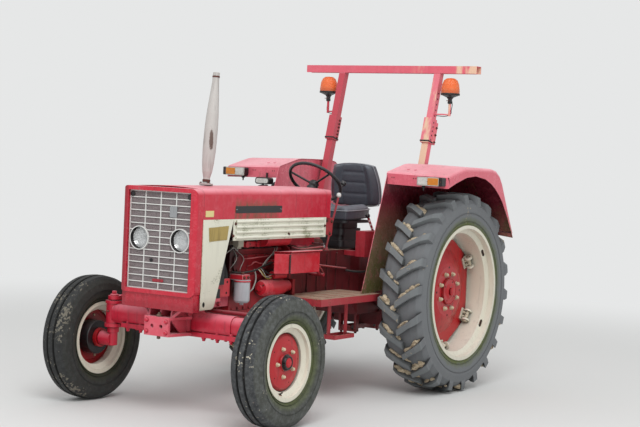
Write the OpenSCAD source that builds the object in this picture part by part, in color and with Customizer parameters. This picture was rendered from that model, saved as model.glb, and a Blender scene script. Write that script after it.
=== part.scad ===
/* [Stance] */
// Distance from the front axle to the rear axle
wheelbase = 2240; // [2000:5:2500]
// How far the lower links reach behind the rear axle
link_reach = 945; // [900:5:1100]
// Distance from a kingpin to the middle of its tyre
wheel_offset = 179; // [170:1:200]
// Distance between the middles of the rear tyres
rear_track = 1500; // [1480:2:1600]

/* [Front wheels] */
// Diameter over the ribs of a front tyre
front_tyre_d = 850; // [800:2:900]
// Width of a front tyre
front_tyre_w = 210; // [190:2:230]
// Diameter over the flanges of a front rim
front_rim_d = 496; // [470:2:520]
// Width over the flanges of a front rim
front_rim_w = 156; // [140:2:170]
// Depth of the grooves between the ribs
groove_d = 17; // [8:1:22]
// Diameter of the stub axle in the front hub
stub_d = 50; // [40:1:60]

/* [Rear wheels] */
// Diameter over the lugs of a rear tyre
rear_tyre_d = 1500; // [1450:2:1550]
// Width of a rear tyre
rear_tyre_w = 345; // [320:1:360]
// Diameter over the flanges of a rear rim
rear_rim_d = 1016; // [980:2:1040]
// Width over the flanges of a rear rim
rear_rim_w = 328; // [300:2:334]
// Number of lugs on each half of a rear tyre
lug_count = 22; // [18:1:24]
// Height of a lug
lug_h = 36; // [20:1:45]
// Width of a lug
lug_w = 50; // [36:1:60]
// Diameter of the half shaft in its trumpet
half_shaft_d = 70; // [60:1:80]

/* [Front axle] */
// Distance from one kingpin to the other
kingpin_span = 1200; // [1160:2:1240]
// Diameter of a kingpin
kingpin_d = 44; // [36:1:50]
// Height of the axle beam's section
beam_h = 145; // [120:1:160]
// Height of the axle beam's middle above the ground
beam_z = 605; // [590:1:620]
// Length of a steering arm, from kingpin to ball
steer_arm = 150; // [130:1:170]
// Diameter of the tie rod
tie_rod_d = 30; // [24:1:36]

/* [Bonnet and nose] */
// Width over the bonnet's sides
bonnet_w = 600; // [560:2:640]
// Height of the bonnet's top above the ground
bonnet_top = 1500; // [1460:2:1540]
// Height of the bonnet's lower edge above the ground
bonnet_edge = 1290; // [1270:2:1310]
// Thickness of the bonnet's sheet
sheet = 4; // [3:0.5:6]
// How far the nose stands ahead of the front axle
nose_reach = 300; // [280:2:330]
// Length of the nose shell
nose_len = 80; // [70:2:100]
// Height of the nose's lower edge above the ground
nose_z = 705; // [700:1:740]
// Width of the frame round the grille
nose_frame = 44; // [36:1:50]
// Number of level bars in the grille
grille_bars = 14; // [11:1:21]
// Radius of a headlamp
lamp_r = 72; // [60:1:76]

/* [Driver's place] */
// Distance between the inner walls of the fenders
fender_gap = 966; // [940:2:1000]
// Width over both fenders
fender_span = 1970; // [1950:2:2000]
// Height of the foot plates' undersides above the ground
platform_z = 745; // [730:1:760]
// Diameter of the steering wheel
steering_d = 430; // [400:2:440]
// Lean of the steering column from upright
column_lean = 41; // [35:1:45]
// Width of the seat
seat_w = 470; // [440:2:500]
// Height of the seat's cushion above the ground
seat_z = 1355; // [1330:1:1380]

/* [Roll bar] */
// Height of the roll bar's top above the ground
bar_top = 2468; // [2400:2:2500]
// Length of the top bar
bar_len = 1560; // [1500:2:1620]
// Distance between the middles of the posts
post_span = 874; // [860:2:890]
// Lean of the posts from upright
post_lean = 14.8; // [12:0.1:17]
// Width of a post's square tube
post_w = 56; // [50:1:60]
// Radius of a beacon's dome
beacon_r = 72; // [60:1:76]

/* [Hitch] */
// Length of a lift arm and of the lift rod's place on the lower link
lift_arm = 300; // [280:1:320]
// Length of a lower link from its front pin to its ball
lower_link = 890; // [860:1:900]
// Diameter of the ball's bore at the rear end of a lower link
ball_bore = 28.7; // [25:0.1:32]
// Diameter of the power take-off stub
pto_d = 34.9; // [34:0.1:36]

/* [Hidden] */
$fn = 64;

red = "#c2203a";
dark_red = "#9b1c30";
cream = "#dcdcc6";
black = "#222426";
steel = "#b4b6b4";

// Running clearance on the diameter of every pin in its bore
run_fit = 0.1;
// Gap left between pieces that touch along a curved face
seat_gap = 0.3;
// Thickness of plain plate
plate_t = 5;

rear_y = (wheelbase + front_tyre_d / 2 - link_reach) / 2;
front_y = rear_y - wheelbase;
front_z = front_tyre_d / 2;
rear_z = rear_tyre_d / 2;
kingpin_x = kingpin_span / 2;
front_x = kingpin_x + wheel_offset;
rear_x = rear_track / 2;

// Draws a piece on the left side, or mirrored on the right
module on_side(s) mirror([s < 0 ? 1 : 0, 0, 0]) children();

// Draws a piece on both sides
module both_sides() for (s = [-1, 1]) on_side(s) children();

// Turns a profile of radius and length round the X axis
module turned_x() rotate([0, 90, 0]) rotate_extrude() children();

module bar_x(d, l) rotate([0, 90, 0]) cylinder(d = d, h = l, center = true);

module bar_y(d, l) rotate([90, 0, 0]) cylinder(d = d, h = l, center = true);

// Stands its children on point a, with their height pointing to point b
module along(a, b) {
    v = b - a;
    translate(a)
        rotate([0, acos(v[2] / norm(v)), atan2(v[1], v[0])])
            children();
}

// A round bar from one point to another
module bar(a, b, d) along(a, b) cylinder(d = d, h = norm(b - a));

// A box given by its lowest and highest corners
module block(low, high) translate(low) cube(high - low);

// A rectangle with rounded corners
module rounded(w, h, r) {
    square([w - 2 * r, h], center = true);
    square([w, h - 2 * r], center = true);
    for (x = [-1, 1], y = [-1, 1])
        translate([x * (w / 2 - r), y * (h / 2 - r)])
            circle(r);
}

// An outline in length and height, given this width across the tractor
module side_view(w) rotate([90, 0, 90]) linear_extrude(w, center = true) children();

// An outline in width and height, given a length from y0 to y1
module front_view(y0, y1) translate([0, y1, 0]) rotate([90, 0, 0]) linear_extrude(y1 - y0) children();

function back_to_front(v) = [for (i = [len(v) - 1:-1:0]) v[i]];

// Front wheels

front_r = front_tyre_d / 2;
front_flange = front_rim_d / 2;
// The bead seat lies this far inside the flange's edge
flange_h = 20;
rim_t = 5;
rib_w = 34;
groove_w = 18;

// Half section of a front tyre: radius, distance from the middle plane
function front_half() = [
    [front_flange - flange_h + seat_gap, front_rim_w / 2 - rim_t - seat_gap],
    [front_flange + 4, front_rim_w / 2 - rim_t - seat_gap],
    [front_flange + 40, front_tyre_w / 2 - 8],
    [front_r - 95, front_tyre_w / 2],
    [front_r - 50, front_tyre_w / 2 - 6],
    [front_r - 22, front_tyre_w / 2 - 20],
    [front_r - 7, front_tyre_w / 2 - 34],
    [front_r - 2, rib_w / 2 + groove_w],
    [front_r - groove_d, rib_w / 2 + groove_w - 3],
    [front_r - groove_d, rib_w / 2 + 3],
    [front_r, rib_w / 2]];

function both_halves(half) = concat(half, [for (p = back_to_front(half)) [p[0], -p[1]]]);

module front_tyre(s)
    color(black)
        translate([s * front_x, front_y, front_z])
            turned_x()
                polygon(both_halves(front_half()));

// Half section of a rim's outer face: radius, distance from the middle plane
function rim_outer(r, w, drop, well) = [
    [r, w / 2],
    [r, w / 2 - rim_t],
    [r - flange_h, w / 2 - rim_t],
    [r - flange_h - 3, w / 2 - rim_t - drop],
    [r - flange_h - well, w / 2 - rim_t - drop - 18]];

// The same face moved inwards by the sheet's thickness
function rim_inner(r, w, drop, well) = [
    [r - flange_h - rim_t, w / 2],
    [r - flange_h - 3 - rim_t, w / 2 - rim_t - drop + 2],
    [r - flange_h - well - rim_t, w / 2 - rim_t - drop - 16]];

module rim_section(r, w, drop, well)
    polygon(concat(back_to_front(rim_outer(r, w, drop, well)), rim_inner(r, w, drop, well),
        [for (p = back_to_front(rim_inner(r, w, drop, well))) [p[0], -p[1]]],
        [for (p = rim_outer(r, w, drop, well)) [p[0], -p[1]]]));

front_drop = 18;
front_well = 34;

module front_rim(s)
    color(cream)
        translate([s * front_x, front_y, front_z])
            turned_x()
                rim_section(front_flange, front_rim_w, front_drop, front_well);

disc_seat = front_flange - flange_h - front_well - rim_t - seat_gap;
hub_bore = stub_d + run_fit;
hub_r = 65;
hub_back = -78;
disc_face = 46;
// The stub axle ends this far outside the tyre's middle
stub_end = 40;

// Half section of a front disc and hub: radius, distance from the middle plane
function front_disc_half() = [
    [0, disc_face + 36], [22, disc_face + 34], [32, disc_face + 26], [36, disc_face + 8],
    [56, disc_face + 8], [60, disc_face], [120, disc_face], [disc_seat - 24, disc_face - 8],
    [disc_seat - 6, disc_face - 20], [disc_seat, disc_face - 24], [disc_seat, 6],
    [disc_seat - 8, 6], [disc_seat - 8, disc_face - 30], [disc_seat - 26, disc_face - 18],
    [116, disc_face - 10], [hub_r, disc_face - 10], [hub_r - 12, disc_face - 24],
    [hub_r - 12, hub_back + 24], [hub_r, hub_back + 24], [hub_r, hub_back], [0, hub_back]];

module front_disc(s)
    color(red)
        on_side(s)
            translate([front_x, front_y, front_z])
                difference() {
                    turned_x()
                        polygon(front_disc_half());
                    translate([(stub_end + 2 + hub_back - 1) / 2, 0, 0])
                        bar_x(hub_bore, stub_end + 3 - hub_back);
                }

// Rear wheels

rear_r = rear_tyre_d / 2;
rear_flange = rear_rim_d / 2;
rear_drop = 40;
rear_well = 36;
carcass_r = rear_r - lug_h;

// Half section of a rear tyre's carcass: radius, distance from the middle plane
function rear_half() = [
    [rear_flange - flange_h + seat_gap, rear_rim_w / 2 - rim_t - seat_gap],
    [rear_flange + 6, rear_rim_w / 2 - rim_t - seat_gap],
    [rear_flange + 60, rear_tyre_w / 2 - 3],
    [rear_r - 130, rear_tyre_w / 2],
    [carcass_r - 45, rear_tyre_w / 2 - 8],
    [carcass_r - 12, rear_tyre_w / 2 - 36],
    [carcass_r, rear_tyre_w / 2 - 90]];

// Half section of the space that the lugs fill
function lug_half() = [
    [carcass_r - 60, rear_tyre_w / 2 - 8],
    [carcass_r - 30, rear_tyre_w / 2 - 3],
    [rear_r - 14, rear_tyre_w / 2 - 12],
    [rear_r, rear_tyre_w / 2 - 60]];

// Half the way that a lug runs back between the middle and the shoulder
lug_rake = 62;
// How far a lug starts past the middle plane
lug_start = 14;

// One lug seen from outside: its inner end leads as the wheel rolls forwards
module lug_plan() {
    x0 = -lug_start;
    x1 = rear_tyre_w / 4;
    x2 = rear_tyre_w / 2;
    polygon([[x0, -lug_rake - lug_w / 2], [x1, -lug_w / 2 + 8], [x2, lug_rake - lug_w / 2 - 6],
        [x2, lug_rake + lug_w / 2 + 6], [x1, lug_w / 2 + 8], [x0, -lug_rake + lug_w / 2]]);
}

module lugs()
    for (side = [-1, 1], i = [0:lug_count - 1])
        rotate([(i + (side + 1) / 4) * 360 / lug_count, 0, 0])
            translate([0, 0, carcass_r - 70])
                linear_extrude(lug_h + 80)
                    mirror([side < 0 ? 1 : 0, 0])
                        lug_plan();

module rear_tyre(s)
    color(black)
        translate([s * rear_x, rear_y, rear_z])
            union() {
                turned_x()
                    polygon(both_halves(rear_half()));
                intersection() {
                    turned_x()
                        polygon(both_halves(lug_half()));
                    lugs();
                }
            }

// Inner radius of the rim's well, where the brackets are welded
well_r = rear_flange - flange_h - rear_well - rim_t;
disc_corners = 6;
hub_face = 22;
// The disc's corners lie in this plane, and the brackets are bolted to it
corner_x = hub_face - 58;
ear_r = 32;
ear_t = 14;
ear_gap = 62;

// A bracket on the rim: a bolted plate between two eyes
module rim_bracket() {
    for (y = [-1, 1])
        translate([corner_x + ear_r + 4, y * (ear_gap + ear_t) / 2, well_r - ear_r + 4])
            rotate([90, 0, 0])
                linear_extrude(ear_t, center = true)
                    difference() {
                        circle(ear_r);
                        circle(ear_r / 2);
                    }
    block([corner_x, -ear_gap / 2 - ear_t, well_r - 70], [corner_x + 10, ear_gap / 2 + ear_t, well_r - 14]);
}

module rear_rim(s)
    color(cream)
        on_side(s)
            translate([rear_x, rear_y, rear_z]) {
                turned_x()
                    rim_section(rear_flange, rear_rim_w, rear_drop, rear_well);
                for (i = [0:disc_corners - 1])
                    rotate([i * 360 / disc_corners, 0, 0])
                        rim_bracket();
            }

trumpet_end = 600;
shaft_in = 150;
// Distance from the wheel's axis to the middle of the disc's straight edges
disc_flat = 408;

// Half section of a rear disc and half shaft: radius, distance from the middle plane
function rear_disc_half() = [
    [0, hub_face + 26], [40, hub_face + 24], [62, hub_face + 14], [92, hub_face + 14],
    [98, hub_face], [190, hub_face], [214, hub_face - 8], [320, corner_x], [well_r - seat_gap, corner_x],
    [well_r - seat_gap, corner_x - 10], [312, corner_x - 10], [206, hub_face - 18], [186, hub_face - 10],
    [104, hub_face - 10], [104, hub_face - 34], [half_shaft_d / 2, hub_face - 40],
    [half_shaft_d / 2, trumpet_end - rear_x - shaft_in], [0, trumpet_end - rear_x - shaft_in]];

module rear_disc(s)
    color(dark_red)
        on_side(s)
            translate([rear_x, rear_y, rear_z])
                intersection() {
                    turned_x()
                        polygon(rear_disc_half());
                    rotate([0, 90, 0])
                        linear_extrude(2 * rear_x, center = true)
                            circle(disc_flat / cos(180 / disc_corners), $fn = disc_corners);
                }

// Front axle, knuckles and tie rod

housing_d = 104;
housing_top = 690;
housing_low = 510;
arm_t = 26;
arm_z = housing_top + 6;
arm_pin_d = 18;
beam_d = 128;
// The middle tube ends this far inside the kingpins, where the outer tubes slide out
sleeve_x = kingpin_x - 170;
beam_low = beam_z - beam_h / 2;
clamp_t = 20;
clamp_bolt_d = 30;

module front_axle()
    color(red)
        difference() {
            union() {
                // Middle tube and the two outer tubes that slide in it
                translate([0, front_y, beam_z])
                    rotate([90, 0, 90]) {
                        linear_extrude(2 * sleeve_x, center = true)
                            rounded(beam_d, beam_h, 56);
                        linear_extrude(kingpin_span - housing_d / 2, center = true)
                            rounded(beam_d - 14, beam_h - 14, 50);
                    }
                // Clamp flange below, with its bolts
                block([-sleeve_x - 50, front_y - 62, beam_low - clamp_t / 2],
                    [sleeve_x + 50, front_y + 62, beam_low + clamp_t]);
                for (x = [sleeve_x, sleeve_x - 110, sleeve_x - 220], y = [-46, 46])
                    both_sides()
                        translate([x, front_y + y, beam_low - clamp_t])
                            cylinder(d = clamp_bolt_d, h = clamp_t);
                // Kingpin housings with a bolted collar round the foot
                both_sides()
                    translate([kingpin_x, front_y, housing_low]) {
                        cylinder(d = housing_d, h = housing_top - housing_low);
                        cylinder(d = housing_d + 16, h = 24);
                        translate([0, 0, housing_top - housing_low - 20])
                            cylinder(d = housing_d + 12, h = 20);
                    }
            }
            for (s = [-1, 1])
                translate([s * kingpin_x, front_y, housing_low - 1])
                    cylinder(d = kingpin_d + run_fit, h = housing_top - housing_low + 2);
        }

support_z = 775;
support_low = 702;
tow_front = front_y - nose_reach + 20;
tow_w = 200;
tow_low = 530;
tow_top = 655;
tow_t = 18;
tow_hole_d = 26;
tow_hole_z = 593;
tow_hole_span = 72;
nose_y = front_y - nose_reach;
engine_front = front_y + 290;
pump_front = engine_front - 34;
engine_back = front_y + 960;

// The casting that carries the radiator and the axle's pivot, with the tow bracket ahead of it
module front_support()
    color(red)
        difference() {
            union() {
                side_view(tow_w + 20)
                    polygon([[nose_y + 60, support_z - 50], [front_y - 90, support_z - 90],
                        [front_y - 90, beam_z - 50], [front_y + 84, beam_z - 50],
                        [front_y + 84, support_low], [front_y + 130, support_low],
                        [front_y + 130, support_z], [nose_y + 60, support_z]]);
                block([-235, nose_y + 90, support_z - 22], [235, front_y + 84, support_z]);
                // Two arms back to the engine, either side of its pulley
                block([-145, front_y + 84, support_low], [145, front_y + 120, support_z]);
                both_sides()
                    block([115, front_y + 84, support_low], [145, engine_front, support_z]);
                // Tow bracket: two plates, a drilled front plate and its gussets
                for (z = [tow_low, tow_top - tow_t])
                    translate([0, 0, z])
                        linear_extrude(tow_t)
                            polygon([[-tow_w / 2, tow_front], [tow_w / 2, tow_front],
                                [tow_w / 2 + 40, front_y - 88], [-tow_w / 2 - 40, front_y - 88]]);
                block([-tow_w / 2, tow_front, tow_low], [tow_w / 2, tow_front + tow_t, tow_top]);
                for (x = [-tow_w / 2, 0, tow_w / 2])
                    translate([x * 0.9, 0, 0])
                        side_view(12)
                            polygon([[tow_front + 30, tow_top - tow_t], [nose_y + 150, tow_low + tow_t - 1],
                                [front_y - 88, tow_low + tow_t - 1], [front_y - 88, support_z - 60],
                                [nose_y + 70, support_z - 40]]);
                both_sides()
                    bar([tow_w / 2 - 14, tow_front + 40, tow_top - 10], [200, nose_y + 100, support_z - 16], 22);
            }
            // Room for the axle beam below the pivot
            translate([0, front_y, beam_z])
                rotate([90, 0, 90])
                    linear_extrude(tow_w + 100, center = true)
                        rounded(beam_d + 2 * seat_gap, beam_h + 2 * seat_gap, 56);
            block([-tow_w, front_y - 62 - seat_gap, 0], [tow_w, front_y + 62 + seat_gap, beam_z]);
            for (x = [-tow_hole_span / 2, tow_hole_span / 2])
                translate([x, tow_front + tow_t / 2, tow_hole_z])
                    bar_y(tow_hole_d, tow_t + 2);
        }

module knuckle(s)
    color(red)
        on_side(s) {
            translate([kingpin_x, front_y, front_z])
                cylinder(d = kingpin_d, h = arm_z + arm_t - front_z);
            // Steering arm on top, pointing back
            difference() {
                hull() {
                    translate([kingpin_x, front_y, arm_z])
                        cylinder(d = 84, h = arm_t, $fn = 32);
                    translate([kingpin_x, front_y + steer_arm, arm_z])
                        cylinder(d = 46, h = arm_t, $fn = 32);
                }
                translate([kingpin_x, front_y + steer_arm, arm_z - 1])
                    cylinder(d = arm_pin_d + run_fit, h = arm_t + 2);
                translate([kingpin_x, front_y, arm_z - 1])
                    cylinder(d = kingpin_d - 1, h = arm_t + 2);
            }
            // Lower body with a collar, and the stub axle
            translate([kingpin_x, front_y, front_z - 40])
                cylinder(d = 64, h = housing_low - 6 - front_z + 40);
            translate([kingpin_x, front_y, housing_low - 36])
                cylinder(d = 80, h = 30);
            translate([(kingpin_x + front_x + stub_end) / 2, front_y, front_z])
                bar_x(stub_d, front_x + stub_end - kingpin_x);
            translate([(kingpin_x + front_x + hub_back - 5) / 2, front_y, front_z])
                bar_x(96, front_x + hub_back - 5 - kingpin_x);
        }

tie_z = arm_z - 6 - tie_rod_d / 2;

module tie_rod()
    color(dark_red) {
        translate([0, front_y + steer_arm, tie_z])
            bar_x(tie_rod_d, kingpin_span);
        for (s = [-1, 1])
            translate([s * kingpin_x, front_y + steer_arm, tie_z - 24]) {
                cylinder(d = 48, h = 44);
                cylinder(d = arm_pin_d, h = arm_z + arm_t - 2 - tie_z + 24);
            }
    }

// Engine and transmission

block_w = 300;
head_top = 1150;
flywheel_y = engine_back - 70;
flywheel_z = 850;
crank_z = 760;

// Engine castings: half width, front, back, low, high
engine_castings = [
    [block_w / 2, engine_front, flywheel_y, 655, 900],
    [block_w / 2 - 14, engine_front + 12, flywheel_y, 900, 1062],
    [block_w / 2 - 4, engine_front + 6, flywheel_y + 6, 1062, 1078],
    [block_w / 2 - 24, engine_front + 16, flywheel_y - 4, 1078, head_top],
    [block_w / 2 + 6, engine_front + 4, flywheel_y, 645, 665],
    [block_w / 2 - 26, engine_front + 30, flywheel_y - 30, 570, 655]];

module engine()
    color(red) {
        for (c = engine_castings)
            block([-c[0], c[1], c[3]], [c[0], c[2], c[4]]);
        // Rocker cover
        translate([0, 0, head_top + 34])
            front_view(engine_front + 40, flywheel_y - 24)
                rounded(190, 80, 26);
        // Timing cover and crankshaft pulley
        front_view(pump_front, engine_front) {
            translate([0, crank_z])
                circle(110);
            translate([0, 900])
                square([170, 250], center = true);
        }
        translate([0, engine_front - 60, crank_z])
            bar_y(150, 44);
        translate([0, engine_front - 60, crank_z])
            bar_y(50, 60);
        // Water pump
        front_view(pump_front, engine_front + 30)
            translate([0, fan_z])
                circle(46);
        // Side cover over the push rods, and core plugs below it
        translate([block_w / 2 - 14, (engine_front + flywheel_y) / 2, 985])
            rotate([90, 0, 90])
                linear_extrude(12)
                    rounded(flywheel_y - engine_front - 90, 110, 30);
        for (i = [0:1])
            translate([block_w / 2, engine_front + 70 + i * 130, 800])
                bar_x(56, 10);
        // Flywheel housing, a drum with a flat flange on the transmission's side
        translate([0, (flywheel_y + engine_back) / 2, flywheel_z])
            bar_y(370, engine_back - flywheel_y);
        front_view(engine_back - 24, engine_back)
            translate([0, flywheel_z - 5])
                rounded(380, 500, 60);
        block([-170, flywheel_y, 600], [170, engine_back, flywheel_z]);
        // Pad for the starter
        block([100, flywheel_y, starter_z - 60], [starter_x + 50, flywheel_y + 30, starter_z + 50]);
    }

starter_x = 208;
starter_z = 812;
pump_x = -190;
generator_x = -block_w / 2 - 60;

module engine_fittings()
    color(dark_red) {
        // Starter with its solenoid on top
        translate([starter_x, flywheel_y - seat_gap, starter_z])
            rotate([90, 0, 0])
                rotate_extrude()
                    polygon([[0, 0], [44, 0], [44, 60], [55, 72], [55, 250], [52, 256], [52, 262],
                        [55, 266], [55, 300], [46, 318], [20, 322], [20, 334], [0, 334]]);
        translate([starter_x + 6, flywheel_y - 120, starter_z + 82])
            bar_y(56, 150);
        block([starter_x - 10, flywheel_y - 150, starter_z + 40], [starter_x + 10, flywheel_y - 90, starter_z + 70]);
        // Injection pump with its four outlets, on the right
        block([pump_x - 40, engine_front + 110, 900], [-block_w / 2 + 14, engine_front + 330, 1000]);
        translate([pump_x - 14, engine_front + 220, 880])
            bar_y(90, 240);
        for (i = [0:3])
            translate([pump_x, engine_front + 135 + i * 50, 1000])
                cylinder(d = 22, h = 30);
        // Inlet manifold under the bonnet's edge, and the bowl that hangs from it
        block([block_w / 2 - 24, engine_front + 90, 1096], [block_w / 2 + 20, flywheel_y - 30, 1130]);
        for (i = [0:3])
            translate([block_w / 2 + 20, engine_front + 150 + i * 130, 1113])
                bar_x(44, 24);
        translate([block_w / 2 + 42, flywheel_y - 160, 1150])
            intersection() {
                bar_y(110, 290);
                block([-60, -150, -60], [60, 150, 0]);
            }
        // Generator on the right, with its pulley
        translate([generator_x, engine_front + 50, 760])
            bar_y(112, 170);
        translate([generator_x, engine_front - 60, 760])
            bar_y(80, 30);
        translate([generator_x, engine_front - 50, 760])
            bar_y(20, 40);
        block([generator_x, engine_front + 20, 745], [-block_w / 2, engine_front + 80, 775]);
    }

filter_x = 226;
filter_y = engine_front + 42;
filter_d = 108;
filter_low = 730;

module oil_filter()
    color(steel) {
        translate([filter_x, filter_y, filter_low])
            rotate_extrude()
                polygon([[0, -16], [14, -16], [14, 0], [42, 0], [filter_d / 2 - 2, 10], [filter_d / 2, 16],
                    [filter_d / 2, 140], [filter_d / 2 + 3, 142], [filter_d / 2 + 3, 152], [0, 152]]);
        block([block_w / 2, filter_y - 40, filter_low + 152], [filter_x + 30, filter_y + 40, filter_low + 188]);
    }

box_x = 385;
box_back = rear_y - 1210;
box_front = rear_y - 1580;
box_low = 920;
box_high = 1060;
box_in = 255;
box_post = 26;

// An open-topped battery and tool box of bent sheet with a lid that stands ajar
module tool_box()
    color(red) {
        difference() {
            block([box_in, box_front, box_low], [box_x, box_back, box_high]);
            block([box_in + plate_t, box_front + plate_t, box_low + plate_t],
                [box_x - plate_t, box_back - plate_t, box_high + 1]);
        }
        // Lid, hinged along the inner edge
        translate([box_in, 0, box_high - 2])
            rotate([0, -4, 0])
                block([-4, box_front - 8, 0], [box_x - box_in + 12, box_back + 8, plate_t]);
        // Ribbed sheet folded forwards from the front edge
        translate([0, 0, box_low])
            linear_extrude(box_high - box_low - 6)
                polygon([[box_x, box_front + 3], [box_x - 8, box_front + 3], [box_x - 78, box_front - 82],
                    [box_x - 72, box_front - 86]]);
        // Arm that carries the box on the engine's side
        block([block_w / 2 - 2, box_front + 60, box_high - 90], [box_in, box_front + 110, box_high - 60]);
    }

gear_w = 330;
axle_w = 370;
gear_back = rear_y + 260;
trumpet_d = 190;
link_pin_d = 28;
top_pin_d = 25.9;
top_ear_gap = 40;

// Outline of the gearbox and axle housing from the side: length, height
gearbox_outline = [
    [engine_back, 600], [engine_back + 60, 600], [engine_back + 190, 640], [rear_y - 420, 640],
    [rear_y - 350, 540], [gear_back - 70, 540], [gear_back, 600], [gear_back, 960],
    [gear_back - 50, 1000], [rear_y - 340, 1000], [rear_y - 430, 1040], [engine_back + 190, 1040],
    [engine_back + 60, 1090], [engine_back, 1090]];

// Half section of an axle trumpet: distance from the middle of the tractor, radius
trumpet_profile = [[0, 0], [0, 150], [axle_w / 2, 150], [axle_w / 2, 168], [axle_w / 2 + 24, 168],
    [axle_w / 2 + 30, 156], [axle_w / 2 + 120, 148], [axle_w / 2 + 140, 112],
    [axle_w / 2 + 170, trumpet_d / 2], [trumpet_end - 26, trumpet_d / 2], [trumpet_end - 26, 118], [trumpet_end, 118], [trumpet_end, 0]];

module transmission()
    color(dark_red)
        difference() {
            union() {
                intersection() {
                    side_view(axle_w + 20)
                        polygon(gearbox_outline);
                    linear_extrude(2 * rear_z)
                        polygon([for (s = [-1, 1], p = s < 0
                            ? [[190, engine_back], [190, engine_back + 40], [gear_w / 2, engine_back + 180],
                                [gear_w / 2, rear_y - 440], [axle_w / 2, rear_y - 350], [axle_w / 2, gear_back]]
                            : [[axle_w / 2, gear_back], [axle_w / 2, rear_y - 350], [gear_w / 2, rear_y - 440],
                                [gear_w / 2, engine_back + 180], [190, engine_back + 40], [190, engine_back]])
                            [s * p[0], p[1]]]);
                }
                // Cover of the lift, and the shift lever's turret
                translate([0, 0, 1040])
                    front_view(rear_y - 210, gear_back - 20)
                        rounded(300, 110, 30);
                translate([0, rear_y - 660, 1020])
                    cylinder(d1 = 150, d2 = 70, h = 90);
                // Ribs down the gearbox's sides
                for (i = [0:3])
                    block([-gear_w / 2 - 10, engine_back + 240 + i * 130, 660],
                        [gear_w / 2 + 10, engine_back + 254 + i * 130, 1020]);
                // Axle trumpets with their brake drums and end flanges
                both_sides()
                    translate([0, rear_y, rear_z])
                        rotate([0, 90, 0])
                            rotate_extrude()
                                polygon([for (p = trumpet_profile) [p[1], p[0]]]);
                // Cross shaft of the lift arms
                translate([0, lift_y, lift_z])
                    bar_x(120, 360);
                translate([0, lift_y, lift_z])
                    bar_x(lift_shaft_d, 2 * arm_x + 60);
                // Power take-off
                translate([0, gear_back + 20, pto_z])
                    bar_y(110, 60);
                translate([0, gear_back + 70, pto_z])
                    bar_y(pto_d, 120);
                // Pins of the lower links
                both_sides()
                    translate([link_front_x - 12, link_y, link_z])
                        bar_x(link_pin_d, 90);
                block([-arm_x, link_y - 40, link_z - 30], [arm_x, link_y + 40, 560]);
                // Top link ears
                for (s = [-1, 1])
                    translate([s * (top_ear_gap / 2 + 10), 0, 0])
                        side_view(20)
                            difference() {
                                union() {
                                    translate([gear_back + 50, top_ear_z])
                                        circle(30);
                                    translate([gear_back - 10, top_ear_z - 36])
                                        square([62, 66]);
                                }
                                translate([gear_back + 50, top_ear_z])
                                    circle(d = top_pin_d);
                            }
            }
            for (s = [-1, 1])
                translate([s * (trumpet_end - 70), rear_y, rear_z])
                    bar_x(half_shaft_d + run_fit, 170);
        }

pto_z = 640;
top_ear_z = 905;

// Nose, grille, bonnet

nose_top = bonnet_top - 10;
nose_frame_low = 800;
// Gap left in a seam between two panels
seam = 0.5;
bonnet_front = nose_y + nose_len + seam;
bonnet_back = rear_y - 1020;
cowl_back = rear_y - 940;
edge_r = 36;
lip_r = 22;

// A plan or side outline with its front corners rounded
module front_rounded(y0, y1, half, r) {
    translate([-half, y0 + r])
        square([2 * half, y1 - y0 - r]);
    translate([-half + r, y0])
        square([2 * half - 2 * r, r + 1]);
    for (x = [-half + r, half - r])
        translate([x, y0 + r])
            circle(r);
}

grille_w = bonnet_w - 2 * nose_frame - 2;
grille_low = nose_frame_low + nose_frame - 17;
grille_top = nose_top - nose_frame + 17;
grille_mid = (grille_low + grille_top) / 2;

module nose()
    color(red)
        difference() {
            intersection() {
                union() {
                    translate([0, nose_y + nose_len, (nose_top + nose_frame_low) / 2])
                        rotate([90, 0, 0])
                            linear_extrude(nose_len)
                                rounded(bonnet_w, nose_top - nose_frame_low, edge_r);
                    // Apron below the frame, set back behind a crease
                    block([-bonnet_w / 2 + 8, nose_y + 16, nose_z],
                        [bonnet_w / 2 - 8, nose_y + nose_len, nose_frame_low + 60]);
                }
                linear_extrude(bonnet_top)
                    front_rounded(nose_y, nose_y + nose_len, bonnet_w / 2, lip_r);
                side_view(bonnet_w)
                    rotate([0, 0, -90])
                        translate([-bonnet_top - (nose_top - bonnet_top) / 2 + nose_len, 0])
                            front_rounded(nose_y, nose_y + nose_len, nose_top / 2 + nose_len, lip_r);
            }
            // The frame's opening, then the wider room behind it
            front_view(nose_y - 1, nose_y + nose_len + 1)
                translate([0, grille_mid])
                    rounded(grille_w + 2 * seat_gap, grille_top - grille_low + 2 * seat_gap, 1);
            front_view(nose_y + 60, nose_y + nose_len + 1)
                translate([0, grille_mid])
                    rounded(bonnet_w - 2 * sheet, grille_top - grille_low + 26, edge_r - sheet);
            block([-bonnet_w / 2 + 14, nose_y + 22, nose_z - 1],
                [bonnet_w / 2 - 14, nose_y + nose_len + 1, nose_frame_low]);
        }

bar_t = 6;
lamp_x = 167;
lamp_z = 1154;
lamp_ring_t = 6;
grille_y = nose_y + 18;
mesh_t = 3;

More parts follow.
